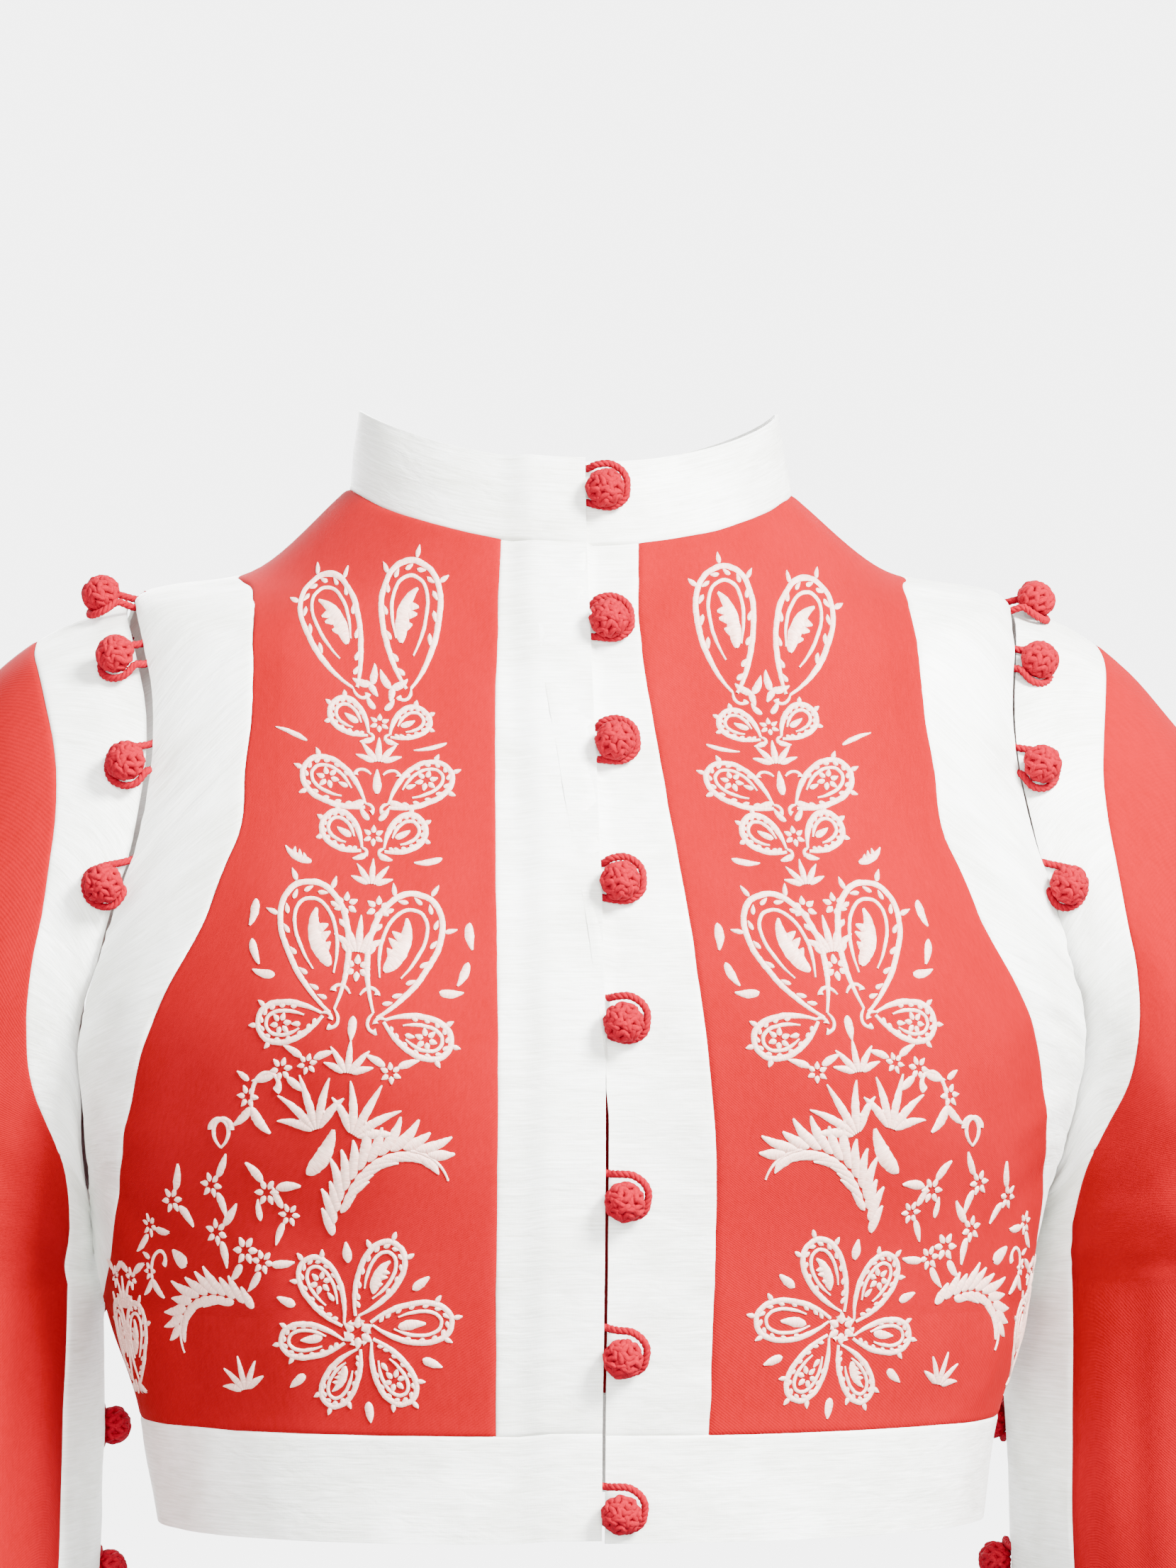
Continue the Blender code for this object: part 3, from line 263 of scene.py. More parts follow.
# Ripples across the bands: seed, size along the band, height
PUCKERS = {
    "placket": (10, 0.010, 0.00062),
    "hem_band": (20, 0.016, 0.00050),
    "armhole_band": (30, 0.0062, 0.00105),
    "sleeve_band": (60, 0.009, 0.00060),
}
BACK_SEED = 5

# Where the buttons sit
FRONT_BUTTON_HEIGHTS = [-0.004, -0.048, -0.088, -0.132, -0.175, -0.230, -0.279, -0.329]
FRONT_BUTTON_REACH = 0.0056
ARMHOLE_BUTTON_TURNS = [0.485, 0.430, 0.375, 0.318, 0.572, 0.644, 0.718]
ARMHOLE_BUTTON_REACH = CAP_GAP + 0.0034
SLIT_BUTTON_HEIGHTS = [-0.266, -0.312, -0.360, -0.414, -0.470, -0.526, -0.582]
SLIT_BUTTON_REACH = SLIT_GAP + 0.0050

# Grid sizes
SIDE_ROWS, ARMHOLE_ROWS = 14, 98
FRONT_COLUMNS_NECK, FRONT_COLUMNS_SHOULDER = 35, 10
PLACKET_COLUMNS, BAND_COLUMNS, HEM_ROWS, COLLAR_ROWS = 15, 14, 14, 14
HEM_POINTS, HEM_BACK_POINTS, COLLAR_POINTS = 60, 100, 190
CAP_COLUMNS, SLEEVE_ROWS, SLEEVE_BAND_COLUMNS = 45, 105, 14
CORNER_COLUMN, CORNER_ROWS = 5, 7
LEVEL_SAMPLES, CAP_SAMPLES, CAP_SEAM_SAMPLES = 400, 401, 101
GUIDE_ANGLE = 10.0
BISECTIONS = 24
# How far surfaces are sampled to find their normals, and how far within their ends
ANGLE_STEP, LEVEL_STEP, TURN_STEP, SLEEVE_STEP = 0.5, 0.04, 0.01, 0.02
BODY_MARGIN, COLLAR_MARGIN, SLEEVE_MARGIN, BEYOND_SHOULDER_TIP = 0.05, 0.02, 0.03, 0.4
# Metres round the body for each radian of its angle, as the creases are told
GIRTH_SCALE = 0.125

LATTICE_SIZE = 64
LATTICE = np.random.default_rng(11).uniform(-1.0, 1.0, (LATTICE_SIZE, LATTICE_SIZE))


def smoothstep(low, high, value):
    part = np.clip((value - low) / (high - low), 0.0, 1.0)
    return part * part * (3 - 2 * part)


def uneven(u, v, seed):
    """Soft noise between -1 and 1 whose bumps are about one unit wide."""
    u, v = np.broadcast_arrays(u + 5.37 * seed, v + 9.71 * seed)
    i, j = np.floor(u).astype(int), np.floor(v).astype(int)
    a, b = smoothstep(0.0, 1.0, u - i), smoothstep(0.0, 1.0, v - j)

    def corner(di, dj):
        return LATTICE[(i + di) % LATTICE_SIZE, (j + dj) % LATTICE_SIZE]

    low = corner(0, 0) * (1 - a) + corner(1, 0) * a
    high = corner(0, 1) * (1 - a) + corner(1, 1) * a
    return low * (1 - b) + high * b


def layered(layers, u, v, shift=0):
    """Layers of soft noise added up."""
    return sum(
        height * uneven(u / across, v / along, seed + shift)
        for height, across, along, seed in layers
    )


def one(value):
    return np.array(float(value))


def added_up(steps):
    """Steps added up from zero along their first axis."""
    return np.concatenate((np.zeros_like(steps[:1]), np.cumsum(steps, 0)))


def lengths_along(points):
    """The length from the start of a path to each of its points; paths run along the first axis."""
    return added_up(np.linalg.norm(np.diff(points, axis=0), axis=-1))


def knot_slope(before, after):
    both = np.where(before * after > 0, before + after, 1.0)
    return np.where(before * after > 0, 2 * before * after / both, 0.0)


def read_table(rows, place):
    """Rows of a table at places from 0 to its last row's number, on smooth curves through it."""
    place = np.clip(np.asarray(place, float), 0.0, len(rows) - 1.0)
    first = np.minimum(place.astype(int), len(rows) - 2)
    part = (place - first)[..., None]
    start, end = rows[first], rows[first + 1]
    step = end - start
    has_before, has_after = (first > 0)[..., None], (first + 2 < len(rows))[..., None]
    before = np.where(has_before, start - rows[np.maximum(first - 1, 0)], step)
    after = np.where(has_after, rows[np.minimum(first + 2, len(rows) - 1)] - end, step)
    keep = (1 + 2 * part) * (1 - part) ** 2
    bend = part * (1 - part) ** 2 * knot_slope(before, step)
    bend = bend - part**2 * (1 - part) * knot_slope(step, after)
    return start * keep + end * (1 - keep) + bend


def read_by(rows, value):
    """Rows of a table by the value of its first column, which rises all the way."""
    return read_table(rows, np.interp(value, rows[:, 0], np.arange(len(rows))))


def bisect(function, low, high, like):
    """Where a rising function crosses zero, for each place at once."""
    low = np.full(np.shape(like), float(low))
    high = np.full(np.shape(like), float(high))
    for _ in range(BISECTIONS):
        middle = (low + high) / 2
        below = function(middle) < 0
        low = np.where(below, middle, low)
        high = np.where(below, high, middle)
    return (low + high) / 2


def oval(rings, angle):
    across, along = np.sin(np.radians(angle)), np.cos(np.radians(angle))
    front = along > 0
    square = np.where(front, rings[..., 6], rings[..., 7])
    x = rings[..., 0] * np.sign(across) * np.abs(across) ** (2 / square)
    depth = np.where(front, rings[..., 1], rings[..., 2])
    y = -depth * np.sign(along) * np.abs(along) ** (2 / square)
    end = np.where(front, rings[..., 3], rings[..., 5])
    z = rings[..., 4] + (end - rings[..., 4]) * np.abs(along) ** HEIGHT_POWER
    return np.stack((x, y, z), -1)


def body(angle, level):
    """Points of the body's smooth surface."""
    angle, level = np.broadcast_arrays(np.asarray(angle, float), np.asarray(level, float))
    point = oval(read_table(RINGS, level), angle)
    across = (np.abs(point[..., 0]) - BUST_X) / BUST_HALF_WIDTH
    up = (point[..., 2] - BUST_Z) / BUST_HALF_HEIGHT
    bust = BUST_FORWARD * np.exp(-across * across - up * up)
    point[..., 1] -= np.where(point[..., 1] < 0, bust, 0.0)
    return point


def collar(angle, height):
    angle, height = np.broadcast_arrays(np.asarray(angle, float), np.asarray(height, float))
    return oval(read_table(COLLAR_RINGS, height * (len(COLLAR_RINGS) - 1)), angle)


def unit(vectors):
    return vectors / np.linalg.norm(vectors, axis=-1, keepdims=True)


def normals_of(surface, a, b, step_a, step_b):
    along_a = surface(a + step_a, b) - surface(a - step_a, b)
    along_b = surface(a, b + step_b) - surface(a, b - step_b)
    return unit(np.cross(along_a, along_b))


def body_normal(angle, level):
    inside = np.clip(level, BODY_MARGIN, NECK_LEVEL - BODY_MARGIN)
    return normals_of(body, angle, inside, ANGLE_STEP, LEVEL_STEP)


def collar_normal(angle, height):
    inside = np.clip(height, COLLAR_MARGIN, 1 - COLLAR_MARGIN)
    return normals_of(collar, angle, inside, ANGLE_STEP, COLLAR_MARGIN)


def lifted(points, angle):
    """The right front rises over the left one towards the centre front."""
    full = 1 - smoothstep(OVER_FULL_WIDTH, OVER_FADE_WIDTH, -points[..., 0])
    over = (np.asarray(angle) <= 0) & (points[..., 1] < 0)
    return points + OVER_TOWARDS * (OVER_LIFT * full * over)[..., None]


def crease_height(s, z):
    """The height of the body's soft creases at metres round from the centre front and height."""
    calm = 1 - CALMED * smoothstep(CALM_EDGE, CALM_CENTRE, np.abs(s))
    height = layered(BODY_NOISE, s, z) * calm
    for crease in CREASES:
        run = np.array((crease.s1 - crease.s0, crease.z1 - crease.z0))
        length = np.hypot(*run)
        ds, dz = s - crease.s0, z - crease.z0
        along = (ds * run[0] + dz * run[1]) / length**2
        bend = CREASE_BEND * length * np.sin(np.clip(along, 0, 1) * math.pi)
        across = (ds * run[1] - dz * run[0]) / length - bend
        fade = smoothstep(-0.08, 0.30, along) * smoothstep(1.12, 0.65, along)
        height = height + crease.height * fade * np.exp(-((across / crease.half_width) ** 2))
    return height


def body_fold(angle, level):
    angle = (np.asarray(angle) + 180.0) % 360.0 - 180.0
    return crease_height(np.radians(angle) * GIRTH_SCALE, body(angle, level)[..., 2])


def angle_at_x(surface, x, level):
    found = bisect(lambda angle: surface(angle, level)[..., 0] - np.abs(x), 0.0, 90.0, level)
    return np.copysign(found, x)


def angle_of_line(rows, level):
    """The angle at which a front seam crosses a level of the body."""
    level = np.asarray(level, float)

    def beyond(angle):
        point = body(angle, level)
        return point[..., 0] - read_by(rows, point[..., 2])[..., 1]

    return bisect(beyond, 0.0, 90.0, level)


def on_body(y, z, top_level):
    """The angle and level of the body's surface at places seen from the side."""

    def angle_at(level):
        return bisect(lambda angle: body(angle, level)[..., 1] - y, 20.0, 160.0, level)

    level = bisect(lambda level: body(angle_at(level), level)[..., 2] - z, 0.5, top_level, y)
    return angle_at(level), level


def side_curve(rows, count, top_level):
    """Angles and levels along an armhole line, from the underarm up to the shoulder seam."""
    line = read_table(rows, np.linspace(0, len(rows) - 1, count + 1))
    angle, level = on_body(line[:, 0], line[:, 1], top_level)
    angle[-1], level[-1] = 90.0, top_level
    return np.stack((angle, level), -1)


def between(first, last, columns):
    """A grid whose rows run evenly from one line of places to another."""
    over = np.linspace(0, 1, columns + 1)[None, :, None]
    return first[:, None] * (1 - over) + last[:, None] * over


def patch(left, right, top):
    """A grid of places between two sides, its rows straight at the bottom and bent at the top."""
    up = np.linspace(0, 1, len(left))[:, None, None]
    straight_top = between(top[:1], top[-1:], len(top) - 1)
    return between(left, right, len(top) - 1) + up**TOP_EDGE_REACH * (top[None] - straight_top)


def edged(grid):
    """A grid with extra lines near each of its four edges, for the roll of a seam or a fold."""
    for _ in range(2):
        first = [grid[0] + (grid[1] - grid[0]) * step for step in EDGE_STEPS]
        last = [grid[-1] + (grid[-2] - grid[-1]) * step for step in EDGE_STEPS]
        grid = np.concatenate((first, grid[1:-1], last[::-1])).swapaxes(0, 1)
    return grid


def drawn_in(points):
    """A grid of points with each of its edges drawn in by half a seam's gap."""
    points = points.copy()
    for _ in range(2):
        for edge, inner in ((0, 1), (-1, -2)):
            points[edge] += unit(points[inner] - points[edge] + 1e-12) * SEAM_GAP / 2
        points = points.swapaxes(0, 1)
    return points


def sink(shape, sewn):
    """How far each point of an edged grid sinks at its seams.

    Sewn tells whether the first row, the last row, the first column and the last column are sewn.
    """
    down = np.zeros(shape)
    for index, drop in enumerate(SEAM_SINK):
        lines = down[index], down[-1 - index], down[:, index], down[:, -1 - index]
        for line, is_sewn in zip(lines, sewn):
            if is_sewn:
                line[:] = np.maximum(line, drop)
    return down


def grid_lengths(points):
    """Metres along the rows and along the columns of a grid, evened out."""
    across = np.linalg.norm(np.diff(points, axis=1), axis=-1).mean(0)
    up = np.linalg.norm(np.diff(points, axis=0), axis=-1).mean(1)
    return np.broadcast_arrays(added_up(across), added_up(up)[:, None])


LOOKS = bpy.data.collections.new("looks")
bpy.context.scene.collection.children.link(LOOKS)


def mesh_object(name, vertices, faces, uvs, look):
    """A shaded mesh piece that rides on the one body; uvs hold a pair in metres for each vertex."""
    mesh = bpy.data.meshes.new(name)
    mesh.from_pydata([tuple(v) for v in vertices], [], [tuple(f) for f in faces])
    layer = mesh.uv_layers.new(name="cut")
    corners = np.empty(len(mesh.loops), np.int32)
    mesh.loops.foreach_get("vertex_index", corners)
    layer.data.foreach_set("uv", np.asarray(uvs, np.float32)[corners].ravel())
    mesh.materials.append(look)
    mesh.shade_smooth()
    thing = bpy.data.objects.new(name, mesh)
    LOOKS.objects.link(thing)
    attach(thing, "root")
    return thing


def cloth(name, points, look, flip=False):
    """A cloth panel on its solid's form: a grid of points made a thin shell with rounded edges."""
    points = drawn_in(points)
    rows, columns = points.shape[:2]
    index = np.arange(rows * columns).reshape(rows, columns)
    faces = np.stack((index[:-1, :-1], index[:-1, 1:], index[1:, 1:], index[1:, :-1]), -1)
    faces = faces.reshape(-1, 4)
    if flip:
        faces = faces[:, ::-1]
    u, v = grid_lengths(points)
    uvs = np.stack((u, v), -1).reshape(-1, 2)
    thing = mesh_object(f"{name}_cloth", points.reshape(-1, 3), faces, uvs, look)
    wall = thing.modifiers.new("wall", "SOLIDIFY")
    wall.thickness = SHELL
    wall.offset = 0.0
    rim = thing.modifiers.new("rim", "BEVEL")
    rim.width = RIM_BEVEL
    rim.segments = 2
    rim.limit_method = "ANGLE"
    rim.angle_limit = math.radians(60)
    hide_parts(name)
    return thing


def body_levels():
    """Levels of the body's rows, from the hem seam to the neck, evenly spaced up the front."""
    levels = np.linspace(HEM_SEAM_LEVEL, NECK_LEVEL, LEVEL_SAMPLES)
    lengths = lengths_along(body(GUIDE_ANGLE, levels))
    return np.interp(np.linspace(0, lengths[-1], SIDE_ROWS + ARMHOLE_ROWS + 1), lengths, levels)


def side_edge(inner_rows):
    """The side seam from the hem seam up, then the armhole band's seam up to the shoulder."""
    band = side_curve(inner_rows, ARMHOLE_ROWS, MID_SHOULDER_LEVEL)
    part = np.linspace(0, 1, SIDE_ROWS + 1)[:-1, None]
    seam = np.array((SIDE_SEAM_ANGLE, HEM_SEAM_LEVEL)) * (1 - part) + band[0] * part
    return np.concatenate((seam, band))


def top_edge(seam_angle):
    neck = [(angle, NECK_LEVEL) for angle in np.linspace(seam_angle, 90.0, FRONT_COLUMNS_NECK + 1)]
    levels = np.linspace(NECK_LEVEL, MID_SHOULDER_LEVEL, FRONT_COLUMNS_SHOULDER + 1)[1:]
    return np.array(neck + [(90.0, level) for level in levels])


LEVELS = body_levels()


def body_piece(name, places, side, look, sewn, extra=None):
    """A panel of the body from places given for the wearer's left, on the side asked for."""
    places = edged(places)
    angle, level = places[..., 0] * side, places[..., 1]
    points = lifted(body(angle, level), angle)
    height = body_fold(angle, level) - sink(level.shape, sewn)
    if extra is not None:
        u, v = grid_lengths(points)
        height = height + extra(u, v)
    points = points + body_normal(angle, level) * height[..., None]
    return cloth(name, points, look, side < 0)


def cross_puckers(band, shift):
    """Fine uneven ripples that lie across a band and so follow one another along it."""
    seed, size, height = PUCKERS[band]
    seed += shift

    def ripples(across, along):
        strength = 0.55 + 0.45 * uneven(across / 0.030, along / 0.045, seed + 3)
        ripple = uneven(across / 0.021, along / size, seed)
        fine = uneven(across / 0.012, along / (size * 0.45), seed + 5)
        return height * strength * (ripple + 0.45 * fine)

    return ripples


def make_fronts(red):
    for name, side, seam_rows in SIDES:
        left = np.stack((angle_of_line(seam_rows, LEVELS), LEVELS), -1)
        grid = patch(left, side_edge(BAND_FRONT), top_edge(left[-1, 0]))
        body_piece(f"front_{name}", grid, side, red, (1, 1, 1, 1))


def make_back(red):
    middle = np.stack((np.full(len(LEVELS), 180.0), LEVELS), -1)
    half = patch(middle, side_edge(BAND_BACK), top_edge(180.0))
    other = half * (-1.0, 1.0) + (360.0, 0.0)
    whole = np.concatenate((half[:, ::-1], other[:, 1:]), 1)
    body_piece("back", whole, 1, red, (1, 1, 1, 1))


def make_plackets(cream):
    for name, side, seam_rows in SIDES:
        seam = angle_of_line(seam_rows, LEVELS)
        edge = np.zeros(len(LEVELS))
        if side > 0:
            edge_x = body(seam, LEVELS)[:, 0] - UNDER_PLACKET_WIDTH
            edge = angle_at_x(body, np.minimum(edge_x, EDGE_SLIVER), LEVELS)
        over = np.linspace(0, 1, PLACKET_COLUMNS + 1)
        angle = edge[:, None] * (1 - over) + seam[:, None] * over
        grid = np.stack(np.broadcast_arrays(angle, LEVELS[:, None]), -1)
        puckers = cross_puckers("placket", side)
        body_piece(f"placket_{name}", grid, side, cream, (1, 1, 0, 1), puckers)


def make_hem_bands(cream):
    """The waist band in three parts, whose ripples follow one another round the body."""
    rows = np.linspace(HEM_LEVEL, HEM_SEAM_LEVEL, HEM_ROWS + 1)[:, None]
    under_edge = angle_at_x(body, EDGE_SLIVER, one(HEM_SEAM_LEVEL))
    back_end = 360.0 - SIDE_SEAM_ANGLE
    for name, side, seed, start, end, count, sewn in (
        ("right", -1, -1, 0.0, SIDE_SEAM_ANGLE, HEM_POINTS, (0, 1, 0, 1)),
        ("left", 1, 1, under_edge, SIDE_SEAM_ANGLE, HEM_POINTS, (0, 1, 0, 1)),
        ("back", 1, BACK_SEED, SIDE_SEAM_ANGLE, back_end, HEM_BACK_POINTS, (0, 1, 1, 1)),
    ):
        grid = np.stack(np.broadcast_arrays(np.linspace(start, end, count)[None], rows), -1)
        puckers = cross_puckers("hem_band", seed)
        along = lambda u, v, puckers=puckers: puckers(v, u)
        body_piece(f"hem_band_{name}", grid, side, cream, sewn, along)


def make_armhole_bands(cream):
    for name, side, _ in SIDES:
        for half, inner_rows, edge_rows in HALVES:
            inner = side_curve(inner_rows, ARMHOLE_ROWS, MID_SHOULDER_LEVEL)
            edge = side_curve(edge_rows, ARMHOLE_ROWS, SHOULDER_TIP_LEVEL)
            grid, sewn, seed = between(inner, edge, BAND_COLUMNS), (1, 1, 1, 0), side
            if half == "back":
                grid, sewn, seed = grid[:, ::-1], (1, 1, 0, 1), side + BACK_SEED
            puckers = cross_puckers("armhole_band", seed)
            band = f"armhole_band_{name}_{half}"
            body_piece(band, grid, side, cream, sewn, puckers)


def make_collar(cream):
    """The stand collar, in one piece, whose right end lies over its left one."""
    neck = one(NECK_LEVEL)
    left_seam = float(angle_of_line(LEFT_PLACKET_SEAM, neck))
    edge_x = body(left_seam, neck)[0] - UNDER_PLACKET_WIDTH
    under_edge = float(angle_at_x(body, edge_x, neck))
    angle = np.linspace(-360.0 + under_edge, 0.0, COLLAR_POINTS)[None]
    rows = np.linspace(0, 1, COLLAR_ROWS + 1)[:, None]
    places = edged(np.stack(np.broadcast_arrays(angle, rows), -1))
    angle, height = places[..., 0], places[..., 1]
    points = collar(angle, height)
    points = np.where((angle > -90.0)[..., None], lifted(points, angle), points)
    bulge = layered(COLLAR_NOISE, *grid_lengths(points)) - sink(angle.shape, (1, 0, 0, 0))
    points = points + collar_normal(angle, height) * bulge[..., None]
    cloth("collar", points, cream)


def armhole_place(turn, front_rows=EDGE_FRONT, back_rows=EDGE_BACK, top_level=SHOULDER_TIP_LEVEL):
    """The body's angle and level round an armhole line, from the underarm by way of the front."""
    front = turn <= 0.5
    part = np.minimum(np.where(front, turn * 2, (1 - turn) * 2), 1.0)
    line_front = read_table(front_rows, part * (len(front_rows) - 1))
    line_back = read_table(back_rows, part * (len(back_rows) - 1))
    line = np.where(front[:, None], line_front, line_back)
    angle, level = on_body(line[:, 0], line[:, 1], top_level)
    at_top = part > 0.9999
    return np.where(at_top, 90.0, angle), np.where(at_top, float(top_level), level)


def edge_normal(angle, level):
    return body_normal(angle, np.minimum(level, SHOULDER_TIP_LEVEL + BEYOND_SHOULDER_TIP))


def cap_starts():
    """Turn, start point, leaving direction, reach and drop of the sleeve all round its armhole."""
    turn = np.linspace(0.0, 1.0, CAP_SAMPLES)
    angle, level = armhole_place(turn)
    seam_angle, seam_level = armhole_place(turn, BAND_FRONT, BAND_BACK, MID_SHOULDER_LEVEL)
    edge = body(angle, level)
    near = body(angle + (seam_angle - angle) * 0.2, level + (seam_level - level) * 0.2)
    free = smoothstep(UNDERARM_TURN, FREE_TURN, 0.5 - np.abs(turn - 0.5))
    recess = CAP_RECESS * free - CAP_OUTWARD * (1 - free)
    start = edge + unit(edge - near) * CAP_GAP - edge_normal(angle, level) * recess[:, None]
    cap = read_by(CAP, turn)
    leaving = unit(np.stack((cap[:, 1], -cap[:, 2], cap[:, 3]), -1))
    return np.concatenate((turn[:, None], start, leaving, cap[:, 4:6]), 1)


CAP_STARTS = cap_starts()


def section_point(turn, place):
    """Points of the sleeve below its cap, from the slit round by the front."""
    section = read_table(SECTIONS, place)
    angle = math.pi + 2 * math.pi * turn
    across = section[..., 3] * np.cos(angle)
    along = section[..., 4] * np.sin(angle) - SECTION_LEAN * across
    return np.stack((section[..., 1] + across, section[..., 2] + along, section[..., 0]), -1)


def smooth_sleeve(turn, level):
    """The wearer's left sleeve without folds: level is 0 at the armhole and 2 at the wrist."""
    turn, level = np.broadcast_arrays(np.asarray(turn, float), np.asarray(level, float))
    below = section_point(turn, np.maximum(level - BICEP_LEVEL, 0.0) * (len(SECTIONS) - 1))
    values = [np.interp(turn, CAP_STARTS[:, 0], CAP_STARTS[:, k]) for k in range(1, 9)]
    start, leaving = np.stack(values[:3], -1), np.stack(values[3:6], -1)
    part = np.minimum(level, 1.0)
    keep = ((1 + 2 * part) * (1 - part) ** 2)[..., None]
    cap = start * keep + section_point(turn, np.zeros_like(level)) * (1 - keep)
    cap = cap + leaving * (values[6] * part * (1 - part) ** 2)[..., None]
    cap[..., 2] += values[7] * part**2 * (1 - part)
    return np.where((level >= BICEP_LEVEL)[..., None], below, cap)


def sleeve_normal(turn, level):
    inside = np.clip(level, SLEEVE_MARGIN, CUFF_LEVEL - SLEEVE_MARGIN)
    round_it = smooth_sleeve(turn + TURN_STEP, inside) - smooth_sleeve(turn - TURN_STEP, inside)
    down = smooth_sleeve(turn, inside + SLEEVE_STEP) - smooth_sleeve(turn, inside - SLEEVE_STEP)
    return unit(np.cross(down, round_it))


def fold_height(turn, level, side):
    """The height of a sleeve's soft folds; the two sleeves don't crease alike."""
    shift = 0.0 if side > 0 else FOLD_SHIFT
    height = layered(SLEEVE_NOISE, turn, level, side)
    for index, fold in enumerate(SLEEVE_FOLDS):
        along = (2 * level - fold.start - fold.end) / (fold.end - fold.start)
        part = np.clip((level - fold.start) / (fold.end - fold.start), 0.0, 1.0)
        middle = fold.turn + (fold.turn_end - fold.turn) * part
        if index >= BROAD_FOLDS:
            middle = middle + shift * (1 if index % 2 else -1)
        across = (turn - middle - FOLD_WAVER * np.sin(9 * level + index)) / fold.half_width
        fade = np.clip(1 - along * along, 0.0, None) ** 1.5
        height = height + fold.height * np.exp(-across * across) * fade
    return height


def sleeve_girth(level):
    place = (np.maximum(level, BICEP_LEVEL) - BICEP_LEVEL) * (len(SECTIONS) - 1)
    section = read_table(SECTIONS, place)
    return 2 * math.pi * np.sqrt((section[..., 3] ** 2 + section[..., 4] ** 2) / 2)


def slit_turn(level):
    return SLIT_GAP / 2 / sleeve_girth(level)


def seam_turn(part, level):
    """The turn of a column of the red sleeve, from its front seam at 0 to its back seam at 1."""
    margin = slit_turn(level) + SLIT_BAND_WIDTH / sleeve_girth(level)
    return margin + (1 - 2 * margin) * part


def cap_seam_level(part):
    """The level at which each column of the red sleeve starts, below the band round the cap."""
    from_slit_seam = (1 - np.abs(2 * part - 1)) / 2
    length = from_slit_seam * (sleeve_girth(BICEP_LEVEL) - 2 * SLIT_BAND_WIDTH)
    short = np.maximum(BAND_CORNER_RADIUS - length, 0.0)
    widening = smoothstep(0.0, NARROW_PART, from_slit_seam)
    width = CAP_BAND_UNDERARM_WIDTH + (CAP_BAND_WIDTH - CAP_BAND_UNDERARM_WIDTH) * widening
    width = width + BAND_CORNER_RADIUS - np.sqrt(BAND_CORNER_RADIUS**2 - short**2)
    level = np.linspace(0.0, 1.0, CAP_SEAM_SAMPLES)
    columns = smooth_sleeve(seam_turn(part[None], level[:, None]), level[:, None])
    lengths = lengths_along(columns)
    return np.array([np.interp(width[k], lengths[:, k], level) for k in range(len(part))])


PARTS = np.linspace(0.0, 1.0, 2 * CAP_COLUMNS + 1)
CAP_SEAM_LEVELS = cap_seam_level(PARTS)


def column_levels(part):
    top = np.interp(part, PARTS, CAP_SEAM_LEVELS)
    return top + (CUFF_LEVEL - top) * np.linspace(0, 1, SLEEVE_ROWS + 1)[:, None]


def sleeve_piece(name, turn, level, side, look, sewn, dip=None, extra=None):
    """A panel of a sleeve, of places for the wearer's left, mirrored for the right sleeve."""
    grid = edged(np.stack(np.broadcast_arrays(turn, level), -1))
    turn, level = grid[..., 0], grid[..., 1]
    points = smooth_sleeve(turn, level)
    sunk = sink(turn.shape, sewn)
    height = fold_height(turn, level, side) - sunk
    if dip is not None:
        height = height - edged(np.stack((dip, dip), -1))[..., 0]
    if extra is not None:
        height = height + extra(*grid_lengths(points)) * (1 - sunk / SEAM_SINK[0])
    points = points + sleeve_normal(turn, level) * height[..., None]
    points = points[:, ::-1] * np.array((side, 1, 1))
    return cloth(name, points, look, side < 0)


def sleeve_band_lines(back):
    """A sleeve band's free edge and its seam, from the shoulder round the cap and down the slit."""

    def cap_seam(columns):
        part, level = PARTS[columns][::-1], CAP_SEAM_LEVELS[columns][::-1]
        return np.stack((seam_turn(1 - part if back else part, level), level), -1)

    slit_side = 1.0 if back else 0.0
    seam = cap_seam(slice(CORNER_COLUMN, CAP_COLUMNS + 1))
    down_level = column_levels(slit_side)[:, 0]
    down = np.stack((seam_turn(slit_side, down_level), down_level), -1)
    corner = abs(slit_side - float(slit_turn(0.0)))
    edge_turn = 0.5 + (corner - 0.5) * np.linspace(0, 1, len(seam))
    cap_edge = np.stack((edge_turn, np.zeros(len(seam))), -1)
    # From the corner seam the rows turn to lie across the slit's band
    turned = cap_seam(slice(1, CORNER_COLUMN))
    slit_level = np.linspace(0, down_level[0] / 2, CORNER_COLUMN + 1)
    blend = np.linspace(down_level[0] / 2, down_level[CORNER_ROWS], CORNER_ROWS + 1)
    slit_level = np.concatenate((slit_level[:-1], blend, down_level[CORNER_ROWS + 1 :]))
    slit_edge = np.stack((np.abs(slit_side - slit_turn(slit_level)), slit_level), -1)
    slit_seam = np.concatenate((seam[-1:], turned, down))
    return ("sleeve", cap_edge, seam), ("slit", slit_edge, slit_seam)


